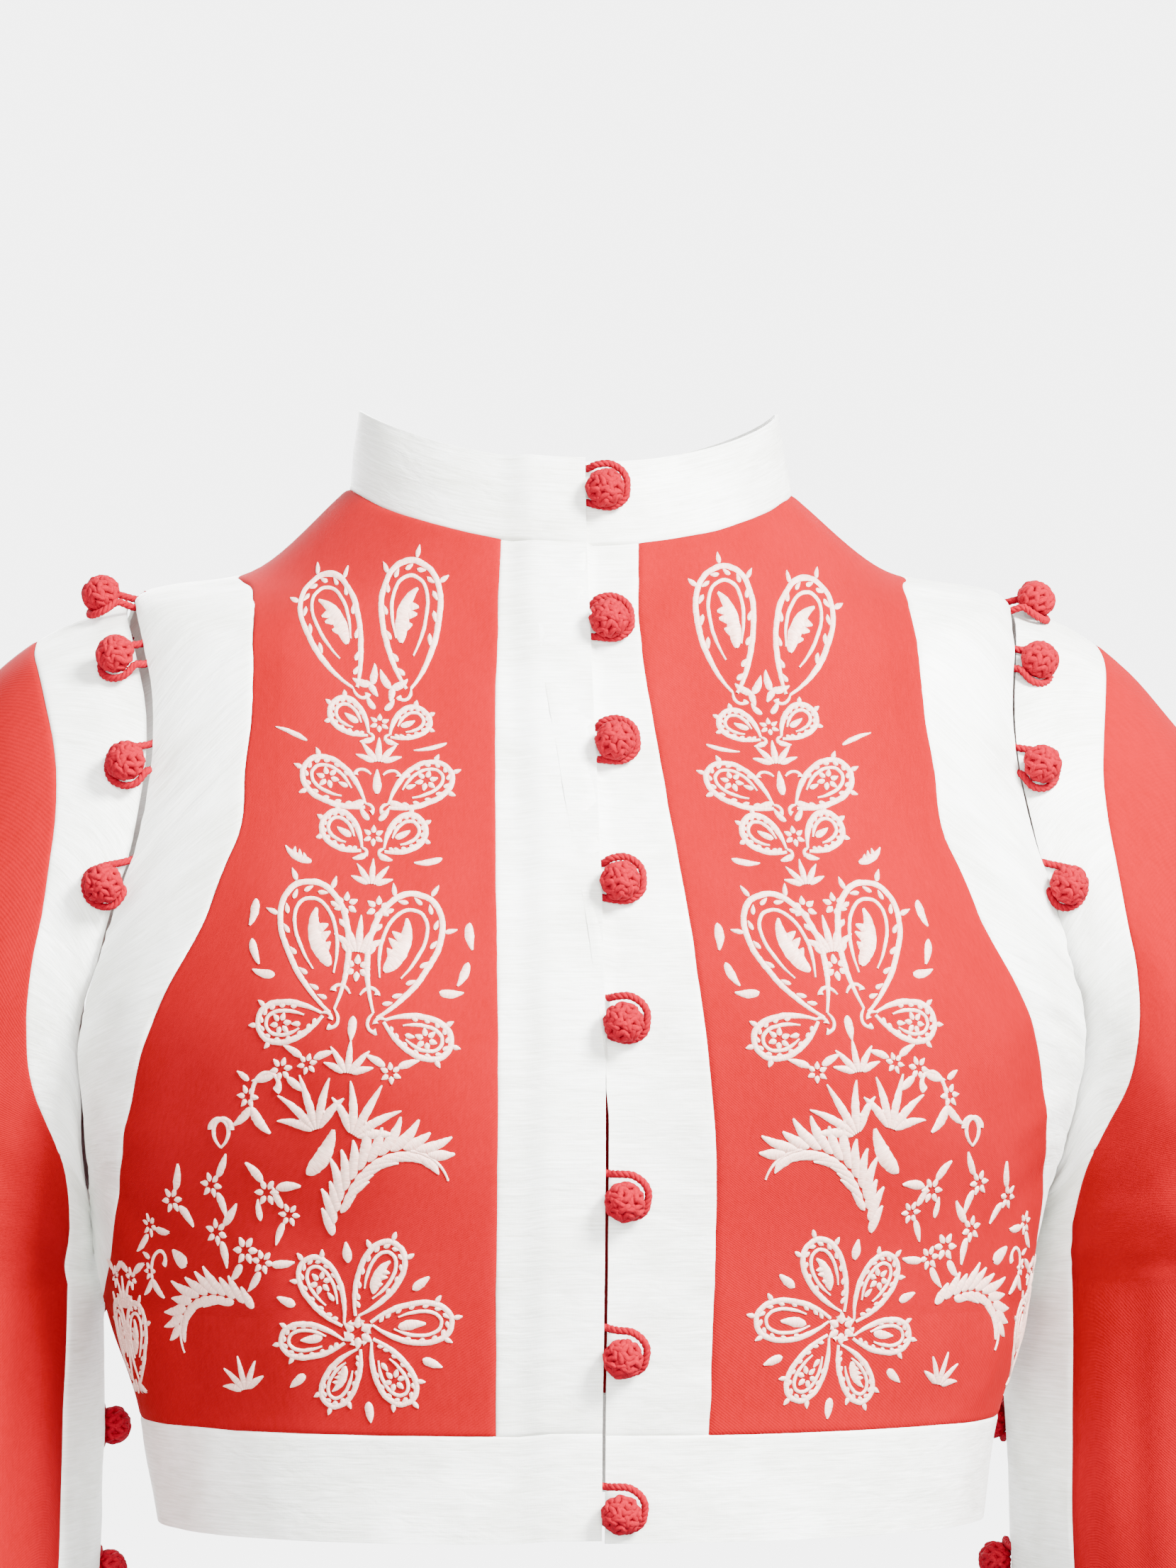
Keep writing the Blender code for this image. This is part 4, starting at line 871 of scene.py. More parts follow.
def make_sleeves(red, cream):
    """The red sleeves and the bands round their caps and down their slits."""
    over = np.linspace(0, 1, SLEEVE_BAND_COLUMNS + 1)
    for name, side, _ in SIDES:
        level = column_levels(PARTS[None])
        turn = seam_turn(PARTS[None], level)
        sleeve_piece(f"sleeve_{name}", turn, level, side, red, (1, 0, 1, 1))
        for half in ("front", "back"):
            back = half == "back"
            for kind, edge, seam in sleeve_band_lines(back):
                grid = between(edge, seam, SLEEVE_BAND_COLUMNS)
                near_slit = smoothstep(DIP_START, DIP_FULL, edge[:, 0])[:, None]
                dip = SLIT_RECESS * (1 - over) ** 2 * near_slit * back
                sewn = (1, kind == "sleeve", 0, 1)
                if back:
                    grid, dip = grid[:, ::-1], dip[:, ::-1]
                    sewn = (1, kind == "sleeve", 1, 0)
                puckers = cross_puckers("sleeve_band", side + BACK_SEED * back)
                band = f"{kind}_band_{name}_{half}"
                turn, level = grid[..., 0], grid[..., 1]
                sleeve_piece(band, turn, level, side, cream, sewn, dip, puckers)


def carried(along, start):
    """A direction square to a path at each of its points, carried on from a start direction."""
    sides = np.zeros_like(along)
    last = np.array(start)
    for index, direction in enumerate(along):
        last = unit(last - direction * last.dot(direction))
        sides[index] = last
    return sides


def tube(path, radius, sides):
    """Vertices, faces and uvs of a round tube along a path, with closed ends."""
    ahead = np.concatenate((path[1:], path[-1:]))
    behind = np.concatenate((path[:1], path[:-1]))
    along = unit(ahead - behind)
    aside = carried(along, (0.31, 0.87, 0.39))
    above = np.cross(along, aside)
    angle = np.linspace(0, 2 * math.pi, sides, endpoint=False)
    ring = np.cos(angle)[None, :, None] * aside[:, None]
    ring = ring + np.sin(angle)[None, :, None] * above[:, None]
    radius = np.broadcast_to(np.asarray(radius, float), (len(path),))
    vertices = (path[:, None] + ring * radius[:, None, None]).reshape(-1, 3)
    length = lengths_along(path)[:, None]
    uvs = np.stack(np.broadcast_arrays(length, angle[None] * 0.0003), -1).reshape(-1, 2)
    index = np.arange(len(path) * sides).reshape(len(path), sides)
    after = np.roll(index, -1, 1)
    faces = np.stack((index[:-1], after[:-1], after[1:], index[1:]), -1).reshape(-1, 4).tolist()
    return vertices, faces + [index[0][::-1].tolist(), index[-1].tolist()], uvs


def joined(parts):
    """Several (vertices, faces, uvs) as one."""
    vertices, faces, uvs, count = [], [], [], 0
    for part_vertices, part_faces, part_uvs in parts:
        vertices.append(part_vertices)
        faces += [[corner + count for corner in face] for face in part_faces]
        uvs.append(part_uvs)
        count += len(part_vertices)
    return np.concatenate(vertices), faces, np.concatenate(uvs)


def dense_path(points, samples):
    """A smooth path through points, with so many samples for each, and the lengths along it."""
    points = np.asarray(points, float)
    dense = read_table(points, np.linspace(0, len(points) - 1, samples * len(points)))
    return dense, lengths_along(dense)


def at_lengths(path, lengths, places):
    """The points of a path at places that are lengths along it."""
    return np.stack([np.interp(places, lengths, axis) for axis in path.T], -1)


def grain(centre, normal, direction, length, width):
    """One fat loop of the knotted ball: a bent, tapered strand lying on it."""
    part = np.linspace(-1, 1, 9)
    aside = np.cross(normal, direction)
    bend = 0.10 * length * (1 - part**2)
    path = centre + direction * (part * length / 2)[:, None] + aside * bend[:, None] * 0.6
    path = path - normal * (STITCH_DEPTH * part**4)[:, None]
    return tube(path, width / 2 * np.sqrt(np.clip(1.04 - part**4, 0.03, 1)), 8)


def knotted_ball(seed):
    """A crocheted ball: rows of fat loops in a herringbone round a core, each a little uneven."""
    rng = np.random.default_rng(seed)
    squash = np.array((1.0, 1.0, BALL_HALF_HEIGHT / BALL_RADIUS))
    core = BALL_RADIUS - CORE_DEPTH
    parts = []
    for latitude, count in STITCH_ROWS:
        start = rng.uniform(0, 2 * math.pi)
        for stitch in range(count):
            for lean in (-1, 1):
                lat = math.radians(latitude + rng.uniform(-LATITUDE_PLAY, LATITUDE_PLAY))
                place = stitch + 0.22 * lean + rng.uniform(-0.07, 0.07)
                lon = start + 2 * math.pi * place / count
                normal = np.array(
                    (math.cos(lat) * math.cos(lon), math.cos(lat) * math.sin(lon), math.sin(lat))
                )
                east = np.array((-math.sin(lon), math.cos(lon), 0.0))
                north = np.cross(normal, east)
                tilt = lean * math.radians(STITCH_LEAN + rng.uniform(-LEAN_PLAY, LEAN_PLAY))
                direction = north * math.cos(tilt) + east * math.sin(tilt)
                centre = normal * (core + rng.uniform(0.0, CORE_PLAY)) * squash
                length = rng.uniform(*STITCH_LENGTH)
                parts.append(grain(centre, normal, direction, length, rng.uniform(*STITCH_WIDTH)))
    sphere = bmesh.new()
    bmesh.ops.create_uvsphere(sphere, u_segments=16, v_segments=10, radius=core - 0.0001)
    vertices = np.array([vertex.co for vertex in sphere.verts]) * squash
    faces = [[vertex.index for vertex in face.verts] for face in sphere.faces]
    sphere.free()
    parts.append((vertices, faces, np.zeros((len(vertices), 2))))
    vertices, faces, uvs = joined(parts)
    return vertices + np.array((0.0, 0.0, BALL_HALF_HEIGHT)), faces, uvs


def twisted_cord(route):
    """A cord's strands wound round a route."""
    dense, lengths = dense_path(route, ROUTE_SAMPLES)
    path = at_lengths(dense, lengths, np.linspace(0, lengths[-1], CORD_POINTS))
    along = unit(np.gradient(path, axis=0))
    aside = carried(along, (0.0, 0.0, 1.0))
    above = np.cross(along, aside)
    length = lengths_along(path)
    parts = []
    for strand in range(STRANDS):
        angle = 2 * math.pi * (length / CORD_PITCH + strand / STRANDS)
        offset = aside * np.cos(angle)[:, None] + above * np.sin(angle)[:, None]
        strand_path = path + offset * CORD_RADIUS * STRAND_OFFSET
        parts.append(tube(strand_path, CORD_RADIUS * STRAND_RADIUS, 7))
    return joined(parts)


def mirrored_route(half, far):
    """A loop's route round a ball: one side, the far point and the other side."""
    return half + [far] + [(x, -y, z) for x, y, z in reversed(half)]


# Routes round a ball from one root to the other: away from the edge, along it, above the cloth
LOOP_ROUTES = {
    "front": [
        (-0.0036, 0.0080, 0.0026),
        (0.0004, 0.0087, 0.0038),
        (0.0044, 0.0073, 0.0042),
        (0.0071, 0.0036, 0.0038),
        (0.0074, -0.0006, 0.0032),
        (0.0055, -0.0037, 0.0020),
        (0.0018, -0.0051, 0.0012),
        (-0.0024, -0.0047, 0.0008),
    ],
    "armhole": mirrored_route(
        [(-0.0026, 0.0056, 0.0016), (0.0016, 0.0068, 0.0018), (0.0054, 0.0046, 0.0019)],
        (0.0071, 0.0, 0.0018),
    ),
    "slit": mirrored_route(
        [(-0.0026, 0.0056, 0.0014), (0.0016, 0.0068, 0.0016), (0.0054, 0.0046, 0.0017)],
        (0.0071, 0.0, 0.0016),
    ),
}


def root_ends(kind, edge, place, normal, across):
    """Where a loop's two ends pass under an edge and go on below its cloth, as world points."""
    step = 0.004
    speed = np.linalg.norm(edge(place + step) - edge(place - step)) / (2 * step)
    inside = -unit(across - normal * across.dot(normal))
    ends = []
    for spread in ROOT_SPREAD[kind]:
        root = edge(place + spread / speed)
        hidden = root + inside * ROOT_BEYOND - normal * ROOT_UNDER
        ends.append((hidden, root - inside * EDGE_OUTSIDE - normal * EDGE_UNDER))
    return ends


def node_points(name):
    """The world points of a CAD node."""
    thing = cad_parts[name]
    points = np.empty(len(thing.data.vertices) * 3)
    thing.data.vertices.foreach_get("co", points)
    world = np.array(thing.matrix_world)
    return points.reshape(-1, 3) @ world[:3, :3].T + world[:3, 3]


def place_button(name, kind, variant, side, edge, place, edge_normal, surface, normal, cord):
    """A knotted ball in its CAD solid's place, along its normal, and its loop from an edge."""
    across = surface - edge(place)
    across = unit(across - normal * across.dot(normal))
    points = node_points(name) * np.array((side, 1, 1))
    rise = (points @ normal).max() - surface @ normal - 2 * BALL_HALF_HEIGHT
    foot = surface + normal * rise
    axes = np.stack((across, np.cross(normal, across), normal))
    ends = root_ends(kind, edge, place, edge_normal, across)
    first, last = [[axes @ (point - foot) for point in end] for end in ends]
    if first[0][1] < last[0][1]:
        first, last = last, first
    loop = twisted_cord(first + LOOP_ROUTES[kind] + last[::-1])
    vertices, faces, uvs = joined([knotted_ball(7 + variant), loop])
    world = (foot + vertices @ axes) * np.array((side, 1, 1))
    if side < 0:
        faces = [face[::-1] for face in faces]
    thing = mesh_object(f"{name}_knot", world, faces, uvs, cord)
    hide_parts(name)


def make_front_buttons(cord):
    seam_height = body(one(0), one(NECK_LEVEL))[2]
    for number, height in enumerate(FRONT_BUTTON_HEIGHTS, 1):
        on_collar = height > seam_height
        surface = collar if on_collar else body
        top = 1.0 if on_collar else float(NECK_LEVEL)
        level = bisect(lambda level: surface(0.0, level)[..., 2] - height, 0.0, top, one(0))
        angle = angle_at_x(surface, FRONT_BUTTON_REACH, level)
        step = COLLAR_MARGIN if on_collar else BODY_MARGIN
        inside = np.clip(level, step, top - step)
        normal = normals_of(surface, angle, inside, ANGLE_STEP, step)
        edge = lambda place: lifted(surface(one(0), place), one(0))
        edge_normal = normals_of(surface, one(0), inside, ANGLE_STEP, step)
        place_button(
            f"front_button_{number}", "front", number % 3, 1,
            edge, level, edge_normal, surface(angle, level), normal, cord,
        )


def armhole_edge(turn):
    angle, level = armhole_place(np.array([float(turn)]))
    return body(angle, level)[0]


def make_armhole_buttons(name, side, cord):
    for number, turn in enumerate(ARMHOLE_BUTTON_TURNS, 1):
        angle, edge_level = armhole_place(np.array([turn]))
        root = armhole_edge(turn)
        smooth = lambda level: smooth_sleeve(one(turn), level)
        reach = lambda level: np.linalg.norm(smooth(level) - root) - ARMHOLE_BUTTON_REACH
        level = bisect(reach, 0.0, 0.7, one(0))
        outward = edge_normal(angle, edge_level)[0]
        normal = unit(sleeve_normal(one(turn), level) + outward)
        place_button(
            f"armhole_button_{name}_{number}", "armhole", (number + side) % 3, side,
            armhole_edge, turn, outward, smooth(level), normal, cord,
        )


def slit_edge_point(level):
    return smooth_sleeve(slit_turn(level), level)


def make_slit_buttons(name, side, cord):
    rows = len(SECTIONS) - 1
    over = (SLIT_BUTTON_REACH - SLIT_GAP) / SLIT_BAND_WIDTH
    for number, height in enumerate(SLIT_BUTTON_HEIGHTS, 1):
        below = lambda part: height - section_point(one(0), part * rows)[..., 2]
        level = BICEP_LEVEL + bisect(below, 0, 1, one(0))
        turn = 1 - slit_turn(level) * (2 * SLIT_BUTTON_REACH / SLIT_GAP - 1)
        normal = sleeve_normal(turn, level)
        foot = smooth_sleeve(turn, level) - normal * SLIT_RECESS * (1 - over) ** 2
        edge_normal = sleeve_normal(slit_turn(level), level)
        place_button(
            f"slit_button_{name}_{number}", "slit", (number + side) % 3, side,
            slit_edge_point, level, edge_normal, foot, normal, cord,
        )


# Colours, as the darkest and the lightest tone of each look
RED_TONES = ((0.30, (0.200, 0.0004, 0.0026)), (0.72, (0.264, 0.0012, 0.0058)))
CREAM_TONES = ((0.36, (0.62, 0.63, 0.56)), (0.60, (0.95, 0.97, 0.94)))
THREAD_TONES = ((0.30, (0.48, 0.20, 0.15)), (0.66, (0.92, 0.67, 0.57)))
CORD_TONES = ((0.30, (0.15, 0.0002, 0.0060)), (0.70, (0.34, 0.0006, 0.0130)))
WHITE = (1.0, 1.0, 1.0, 1.0)


class Look:
    """A material made of shader nodes, built up by named calls."""

    def __init__(self, name):
        self.material = bpy.data.materials.new(name)
        self.material.use_nodes = True
        self.tree = self.material.node_tree
        self.shader = self.tree.nodes["Principled BSDF"]

    def node(self, kind, **settings):
        made = self.tree.nodes.new(kind)
        for key, value in settings.items():
            setattr(made, key, value)
        return made

    def link(self, source, target):
        self.tree.links.new(source, target)

    def set(self, node, **values):
        for key, value in values.items():
            node.inputs[key.replace("_", " ")].default_value = value

    def scaled(self, vector, scale):
        mapping = self.node("ShaderNodeMapping")
        self.set(mapping, Scale=scale)
        self.link(vector, mapping.inputs["Vector"])
        return mapping.outputs[0]

    def fibres(self, scale, detail, roughness, distortion=0.0):
        """Noise in the cloth's own coordinates in metres, times a scale along and across."""
        uv = self.node("ShaderNodeUVMap", uv_map="cut")
        return self.noise(self.scaled(uv.outputs[0], (*scale, 1)), detail, roughness, distortion)

    def noise(self, vector, detail, roughness, distortion=0.0):
        made = self.node("ShaderNodeTexNoise")
        self.set(made, Scale=1.0, Detail=detail, Roughness=roughness, Distortion=distortion)
        self.link(vector, made.inputs["Vector"])
        return made.outputs["Fac"]

    def twill(self, scale, distortion):
        uv = self.node("ShaderNodeUVMap", uv_map="cut")
        vector = self.scaled(uv.outputs[0], (*scale, 1))
        made = self.node("ShaderNodeTexWave", bands_direction="DIAGONAL")
        self.set(made, Scale=1.0, Distortion=distortion, Detail=1.0, Detail_Scale=1.0)
        self.link(vector, made.inputs["Vector"])
        return made.outputs["Fac"]

    def math(self, operation, first, second):
        made = self.node("ShaderNodeMath", operation=operation)
        for value, target in ((first, made.inputs[0]), (second, made.inputs[1])):
            if isinstance(value, (int, float)):
                target.default_value = value
            else:
                self.link(value, target)
        return made.outputs[0]

    def blend(self, first, first_share, second, second_share):
        """Two values, each times its share, added."""
        first = self.math("MULTIPLY", first, first_share)
        return self.math("ADD", first, self.math("MULTIPLY", second, second_share))

    def bump(self, height, distance, strength=1.0, below=None):
        made = self.node("ShaderNodeBump")
        self.set(made, Strength=strength, Distance=distance)
        self.link(height, made.inputs["Height"])
        if below is not None:
            self.link(below, made.inputs["Normal"])
        return made.outputs["Normal"]

    def coloured(self, factor, tones):
        made = self.node("ShaderNodeValToRGB")
        for element, (place, colour) in zip(made.color_ramp.elements, tones):
            element.position = place
            element.color = (*colour, 1.0)
        self.link(factor, made.inputs["Fac"])
        self.link(made.outputs["Color"], self.shader.inputs["Base Color"])

    def finished(self, normal, **settings):
        """The material, once its relief and its shader's own settings are in."""
        self.link(normal, self.shader.inputs["Normal"])
        self.set(self.shader, **settings)
        return self.material


def red_crepe():
    look = Look("red_crepe_look")
    fine = look.fibres((2600, 2600), 2.0, 0.7)
    twill = look.twill((640, 640), 1.2)
    broad = look.fibres((22, 14), 4.0, 0.6)
    mottle = look.fibres((900, 260), 3.0, 0.65)
    look.coloured(look.blend(broad, 0.55, mottle, 0.45), RED_TONES)
    weave = look.blend(twill, 0.6, fine, 0.7)
    soft = look.bump(broad, 0.0012, 0.35)
    return look.finished(
        look.bump(weave, 0.00011, 0.8, soft),
        Roughness=0.85, Sheen_Weight=0.05, Sheen_Roughness=0.45, Sheen_Tint=(1.0, 0.02, 0.02, 1.0),
        Specular_IOR_Level=0.03, Specular_Tint=(1.0, 0.35, 0.30, 1.0),
    )


def cream_silk():
    look = Look("cream_silk_look")
    slubs = look.fibres((55, 1500), 4.0, 0.7)
    threads = look.fibres((1900, 240), 2.0, 0.6)
    broad = look.fibres((26, 34), 4.0, 0.6, 0.4)
    ribs = look.fibres((60, 170), 3.0, 0.55, 0.5)
    look.coloured(look.blend(slubs, 0.5, broad, 0.5), CREAM_TONES)
    weave = look.blend(slubs, 0.9, threads, 0.4)
    soft = look.bump(ribs, 0.0011, 0.55)
    return look.finished(
        look.bump(weave, 0.00013, 0.9, soft),
        Roughness=0.46, Sheen_Weight=0.18, Sheen_Roughness=0.35, Specular_IOR_Level=0.42,
    )


def satin_thread():
    look = Look("satin_thread_look")
    threads = look.fibres((3300, 260), 2.0, 0.6)
    broad = look.fibres((160, 160), 3.0, 0.6)
    look.coloured(look.blend(threads, 0.6, broad, 0.4), THREAD_TONES)
    return look.finished(
        look.bump(threads, 0.00022, 0.95),
        Roughness=0.42, Sheen_Weight=0.10, Sheen_Roughness=0.35, Specular_IOR_Level=0.35,
    )


def red_cord():
    look = Look("red_cord_look")
    fibres = look.fibres((900, 9000), 3.0, 0.65)
    place = look.node("ShaderNodeTexCoord").outputs["Object"]
    fuzz = look.noise(look.scaled(place, (900, 900, 900)), 3.0, 0.7)
    tone = look.blend(fibres, 0.5, fuzz, 0.5)
    look.coloured(tone, CORD_TONES)
    return look.finished(
        look.bump(tone, 0.00022, 0.9),
        Roughness=0.80, Sheen_Weight=0.02, Sheen_Roughness=0.40, Sheen_Tint=(1.0, 0.05, 0.08, 1.0),
        Specular_IOR_Level=0.03,
    )


# Embroidery, in millimetres: how far from the placket's seam and at what height each motif stands.
# A stroke is a run of points and the half width of its satin stitches at each. Headings and turns
# are in degrees, and bends in degrees a millimetre.
MILLIMETRE = 0.001
THREAD_RISE = 0.00034
THREAD_RISE_BY_WIDTH = 0.13
THREAD_EDGE_DEPTH = 0.00006
THREAD_RAGGED, RAGGED_LENGTH = 0.10, 0.9
STITCH_STEP, FEWEST_STEPS, LINE_SAMPLES = 0.55, 5, 14
FINE_LINE = 0.70
THINNEST_SCALE = 0.85
RIBBON = ((-1.0, 0.0), (-0.62, 0.78), (0.0, 1.0), (0.62, 0.78), (1.0, 0.0))


def step_towards(heading):
    return np.array((math.cos(math.radians(heading)), math.sin(math.radians(heading))))


def heading_of(step):
    return math.degrees(math.atan2(step[1], step[0]))


def stitched(points, width, ends):
    """A stitched line through points, thinner at its ends."""
    dense, lengths = dense_path(points, LINE_SAMPLES)
    count = max(int(lengths[-1] / STITCH_STEP), FEWEST_STEPS)
    even = np.linspace(0, lengths[-1], count + 1)
    part = even / lengths[-1]
    taper = ends[0] + (1 - ends[0]) * smoothstep(0.0, 0.16, part)
    taper = taper * (ends[1] + (1 - ends[1]) * smoothstep(1.0, 0.84, part))
    return [(at_lengths(dense, lengths, even), width * taper)]


def curved(x, y, heading, length, bend_start, bend_end, width, shape):
    """A stroke that starts at a place and heading and bends as it goes."""
    count = max(int(length / STITCH_STEP), FEWEST_STEPS)
    part = np.linspace(0, 1, count + 1)
    bend = bend_start + (bend_end - bend_start) * part
    angle = np.radians(heading + added_up(bend[:-1]) * length / count)
    steps = np.stack((np.cos(angle), np.sin(angle)), -1)[:-1] * length / count
    return [(added_up(steps) + (x, y), width * shape(part))]


def leaf_shape(part):
    return 0.18 + 0.82 * np.sin(math.pi * np.clip(part, 0, 1) ** 0.72) ** 0.85


def scroll_shape(part):
    return 0.42 + 0.34 * smoothstep(0.0, 0.3, part) + 0.62 * smoothstep(0.80, 0.97, part)


def leaf(x, y, heading, length, width, bend=0.0):
    return curved(x, y, heading, length, bend, bend, width, leaf_shape)


def scroll(x, y, heading, length, bend_start, bend_end, width):
    return curved(x, y, heading, length, bend_start, bend_end, width, scroll_shape)


def blossom(x, y, size, turn=90.0):
    """Six petals round a place."""
    made = []
    for petal in range(6):
        heading = turn + 60.0 * petal
        start = (x, y) + 0.34 * size * step_towards(heading)
        made += leaf(*start, heading, 0.86 * size, 0.30 * size, 1.5)
    return made


def hook(x, y, heading, size, side=1):
    """A short curl with a round end."""
    return scroll(x, y, heading, size, 60 * side / size, 290 * side / size, FINE_LINE * 1.1)


def flame(x, y, heading, length, width):
    """A bent leaf with pointed lobes along its hollow side."""
    made = curved(x, y, heading, length, 20 / length, 95 / length, width, leaf_shape)
    path = made[0][0]
    for part, reach in ((0.26, 0.22), (0.44, 0.28), (0.62, 0.26)):
        at = int(part * (len(path) - 1))
        ahead = heading_of(path[at + 1] - path[at])
        made += leaf(*path[at], ahead + 62, reach * length, 0.55 * width, 3.0)
    return made


def drop_line(length, width, bend):
    """A paisley's outline by formula: point at the origin, round end up, point bent aside."""
    turn = np.linspace(0.22, 2 * math.pi - 0.34, 15)
    height = (1 - np.cos(turn)) / 2
    across = 0.62 * np.sin(turn) * np.sin(turn / 2) ** 0.8 * width
    return np.stack((across + bend * (1 - height) ** 2, height * length), -1)


def paisley(length, width, bend, fill):
    """A paisley with its point at the origin: two outlines, small leaves between and outside them,
    a curl at the point and a filling."""
    outline = drop_line(length, width, bend)
    middle = np.array((0.0, 0.60 * length))
    inner = middle + (outline[2:-1] - middle) * (0.60, 0.68)
    made = stitched(outline, FINE_LINE + 0.28, (0.6, 0.5))
    made += stitched(inner, FINE_LINE * 0.9, (0.5, 0.5))
    made += hook(*outline[-1], 255, 0.20 * length)
    for start, end in zip(outline[:-3], outline[1:-2]):
        place = middle + ((start + end) / 2 - middle) * (0.81, 0.84)
        step = end - start
        made += leaf(*(place - step * 0.22), heading_of(step) - 24, 0.050 * length + 1.2, 0.8)
    for place in outline[5:10:2]:
        outward = place - middle
        made += leaf(*(place + outward * 0.06), heading_of(outward), 0.075 * length + 1.0, 0.9)
    foot = middle - (0.0, 0.26 * length)
    if fill == "flame":
        return made + flame(*foot, 76, 0.46 * length, 0.052 * length + 0.4)
    if fill == "blossom":
        made += blossom(*(middle + (0.0, 0.04 * length)), 0.085 * length + 1.2, 80)
        return made + leaf(*foot, 88, 0.14 * length, 0.9)
    return made + leaf(*foot, 84, 0.34 * length, 0.05 * length + 0.4, 1.5)


def palmette(spread, length, width):
    """A fan of five petals on one foot, the middle ones the longest."""
    made = []
    for part in np.linspace(-1, 1, 5):
        petal = length * (1 - 0.30 * part * part)
        made += leaf(1.4 * part, 0.6, 90 - spread * part, petal, width, -2.4 * part)
    return made


def moved(strokes, x, y, turn=0.0, size=1.0, flip=False):
    """Strokes turned, sized, mirrored and moved to a place."""
    ahead = step_towards(turn)
    spin = np.array((ahead, (-ahead[1], ahead[0])))
    made = []
    for path, width in strokes:
        path = path * np.array((-1.0 if flip else 1.0, 1.0)) * size
        made.append((path @ spin + (x, y), width * max(size, THINNEST_SCALE)))
    return made


def both(strokes):
    """Strokes and their mirror image about the upright axis."""
    return strokes + [(path * (-1.0, 1.0), width) for path, width in strokes]


def trio():
    """A blossom between two leaves."""
    pair = leaf(-2.2, 2.4, 122, 8.0, 1.4, -2) + leaf(-2.2, -2.4, 238, 8.0, 1.4, 2)
    return blossom(0, 0, 3.3, 70) + pair


def pod():
    """A large paisley with leaves at its foot."""
    made = paisley(37.0, 20.0, -5.0, "flame")
    made += leaf(0.5, -1.0, 150, 6.5, 1.3, -5) + leaf(0.5, -1.0, 30, 6.5, 1.3, 5)
    return made + leaf(0.0, -0.5, 268, 5.0, 1.2)


def bow():
    """Two small paisleys that lie away from each other, with a blossom between."""
    half = moved(paisley(16.5, 11.5, 2.0, "leaf"), 2.6, -3.4, -58)
    half += leaf(1.6, 5.4, 40, 5.6, 1.1, 6) + leaf(2.0, -6.4, 330, 5.0, 1.1, 5)
    return both(half) + blossom(0, 0, 3.0)


def tulip():
    """A small palmette."""
    return palmette(62, 9.0, 1.1)


def wing_pair():
    """Two paisleys that lie to either side of one stem."""
    half = moved(paisley(25.0, 14.5, 4.0, "blossom"), 2.0, -5.0, -66) + hook(2.0, 3.0, 50, 7.5, -1)
    return both(half + leaf(4.0, -6.6, 335, 7.0, 1.3, 3)) + leaf(0, -4, 90, 9.0, 1.5)


def crown():
    """The largest motif of the column: two large paisleys on one foot over two smaller ones."""
    half = moved(paisley(43.0, 22.0, 5.0, "flame"), 2.6, -45.0, -25) + blossom(5.2, -11.5, 3.4)
    half += moved(paisley(23.0, 13.0, -3.0, "blossom"), 9.5, -50.5, -96)
    half += hook(1.6, -40.0, 60, 8.0, -1)
    half += leaf(35.0, -13.0, 268, 9.0, 1.6, 3) + leaf(35.5, -26.0, 262, 8.5, 1.5, -3)
    half += leaf(27.0, -36.5, 350, 8.0, 1.5, 4) + moved(trio(), 14.0, -64.0, -90, 0.9)
    made = both(half) + moved(palmette(44, 12.0, 1.2), 0, -27.0)
    made += moved(palmette(62, 10.5, 1.2), 0, -66.0)
    return made + blossom(0, -31.5, 3.6) + leaf(0, -47.0, 270, 8.0, 1.5)


def lily():
    """A flower of long petals on one foot."""
    return palmette(44, 18.0, 1.45) + hook(1.6, 1.0, 20, 7.0) + hook(-1.6, 1.0, 160, 7.0, -1)


def hooked_sprig():
    """A stem whose top curls over, with leaves and a blossom."""
    made = scroll(0.5, 6.0, 96, 22.0, 0.0, 22.0, 1.0) + blossom(1.4, 9.4, 3.2, 70)
    made += leaf(0.5, 6.0, 250, 11, 1.8, -3) + leaf(0.5, 6.0, 310, 9, 1.5, 3)
    return made + leaf(0.6, 14.4, 40, 5.0, 1.1)


def plume(length, bend, barb):
    """A curling feather: a bent rib with broad pointed barbs close together on both its sides."""
    rib = curved(0, 0, 90, length, bend * 0.30, bend * 1.85, 1.25, lambda part: 0.95 - 0.65 * part)
    path, width = rib[0]
    heading = np.degrees(np.unwrap(np.arctan2(*np.gradient(path, axis=0).T[::-1])))
    bare = int(0.72 * len(path))
    made = [(path[bare:], width[bare:])]
    lean = math.copysign(1.0, -bend)
    count = int(length / 4.3)
    for index in range(count):
        part = 0.03 + 0.86 * index / count
        at = int(part * (len(path) - 1))
        size = barb * (0.55 + 0.60 * math.sin(math.pi * min(part * 0.95 + 0.10, 1.0)))
        size = size * (1 + 0.16 * math.sin(2.4 * index))
        ahead = step_towards(heading[at])
        out = np.array((-ahead[1], ahead[0])) * lean
        made += leaf(*(path[at] + out * 0.5), heading[at] + 19 * lean, size, 1.75, 2.4 * lean)
        if index > 1:
            start = path[at] - out * 1.0
            made += leaf(*start, heading[at] - 13 * lean, 0.76 * size, 1.40, -3.2 * lean)
    return made


def rosette():
    """Six paisleys round one blossom, with leaves between their round ends."""
    made = blossom(0, 0, 4.6)
    for index, fill in enumerate(("flame", "leaf", "blossom") * 2):
        turn = 60.0 * index + 22.0
        length = 25.0 + 3.0 * math.cos(math.radians(turn - 40.0))
        foot = 4.6 * step_towards(turn + 90.0)
        made += moved(paisley(length, 0.50 * length, 2.6, fill), *foot, turn)
        made += leaf(*(23.5 * step_towards(turn + 120.0)), turn + 120.0, 7.0, 1.6)
    return made


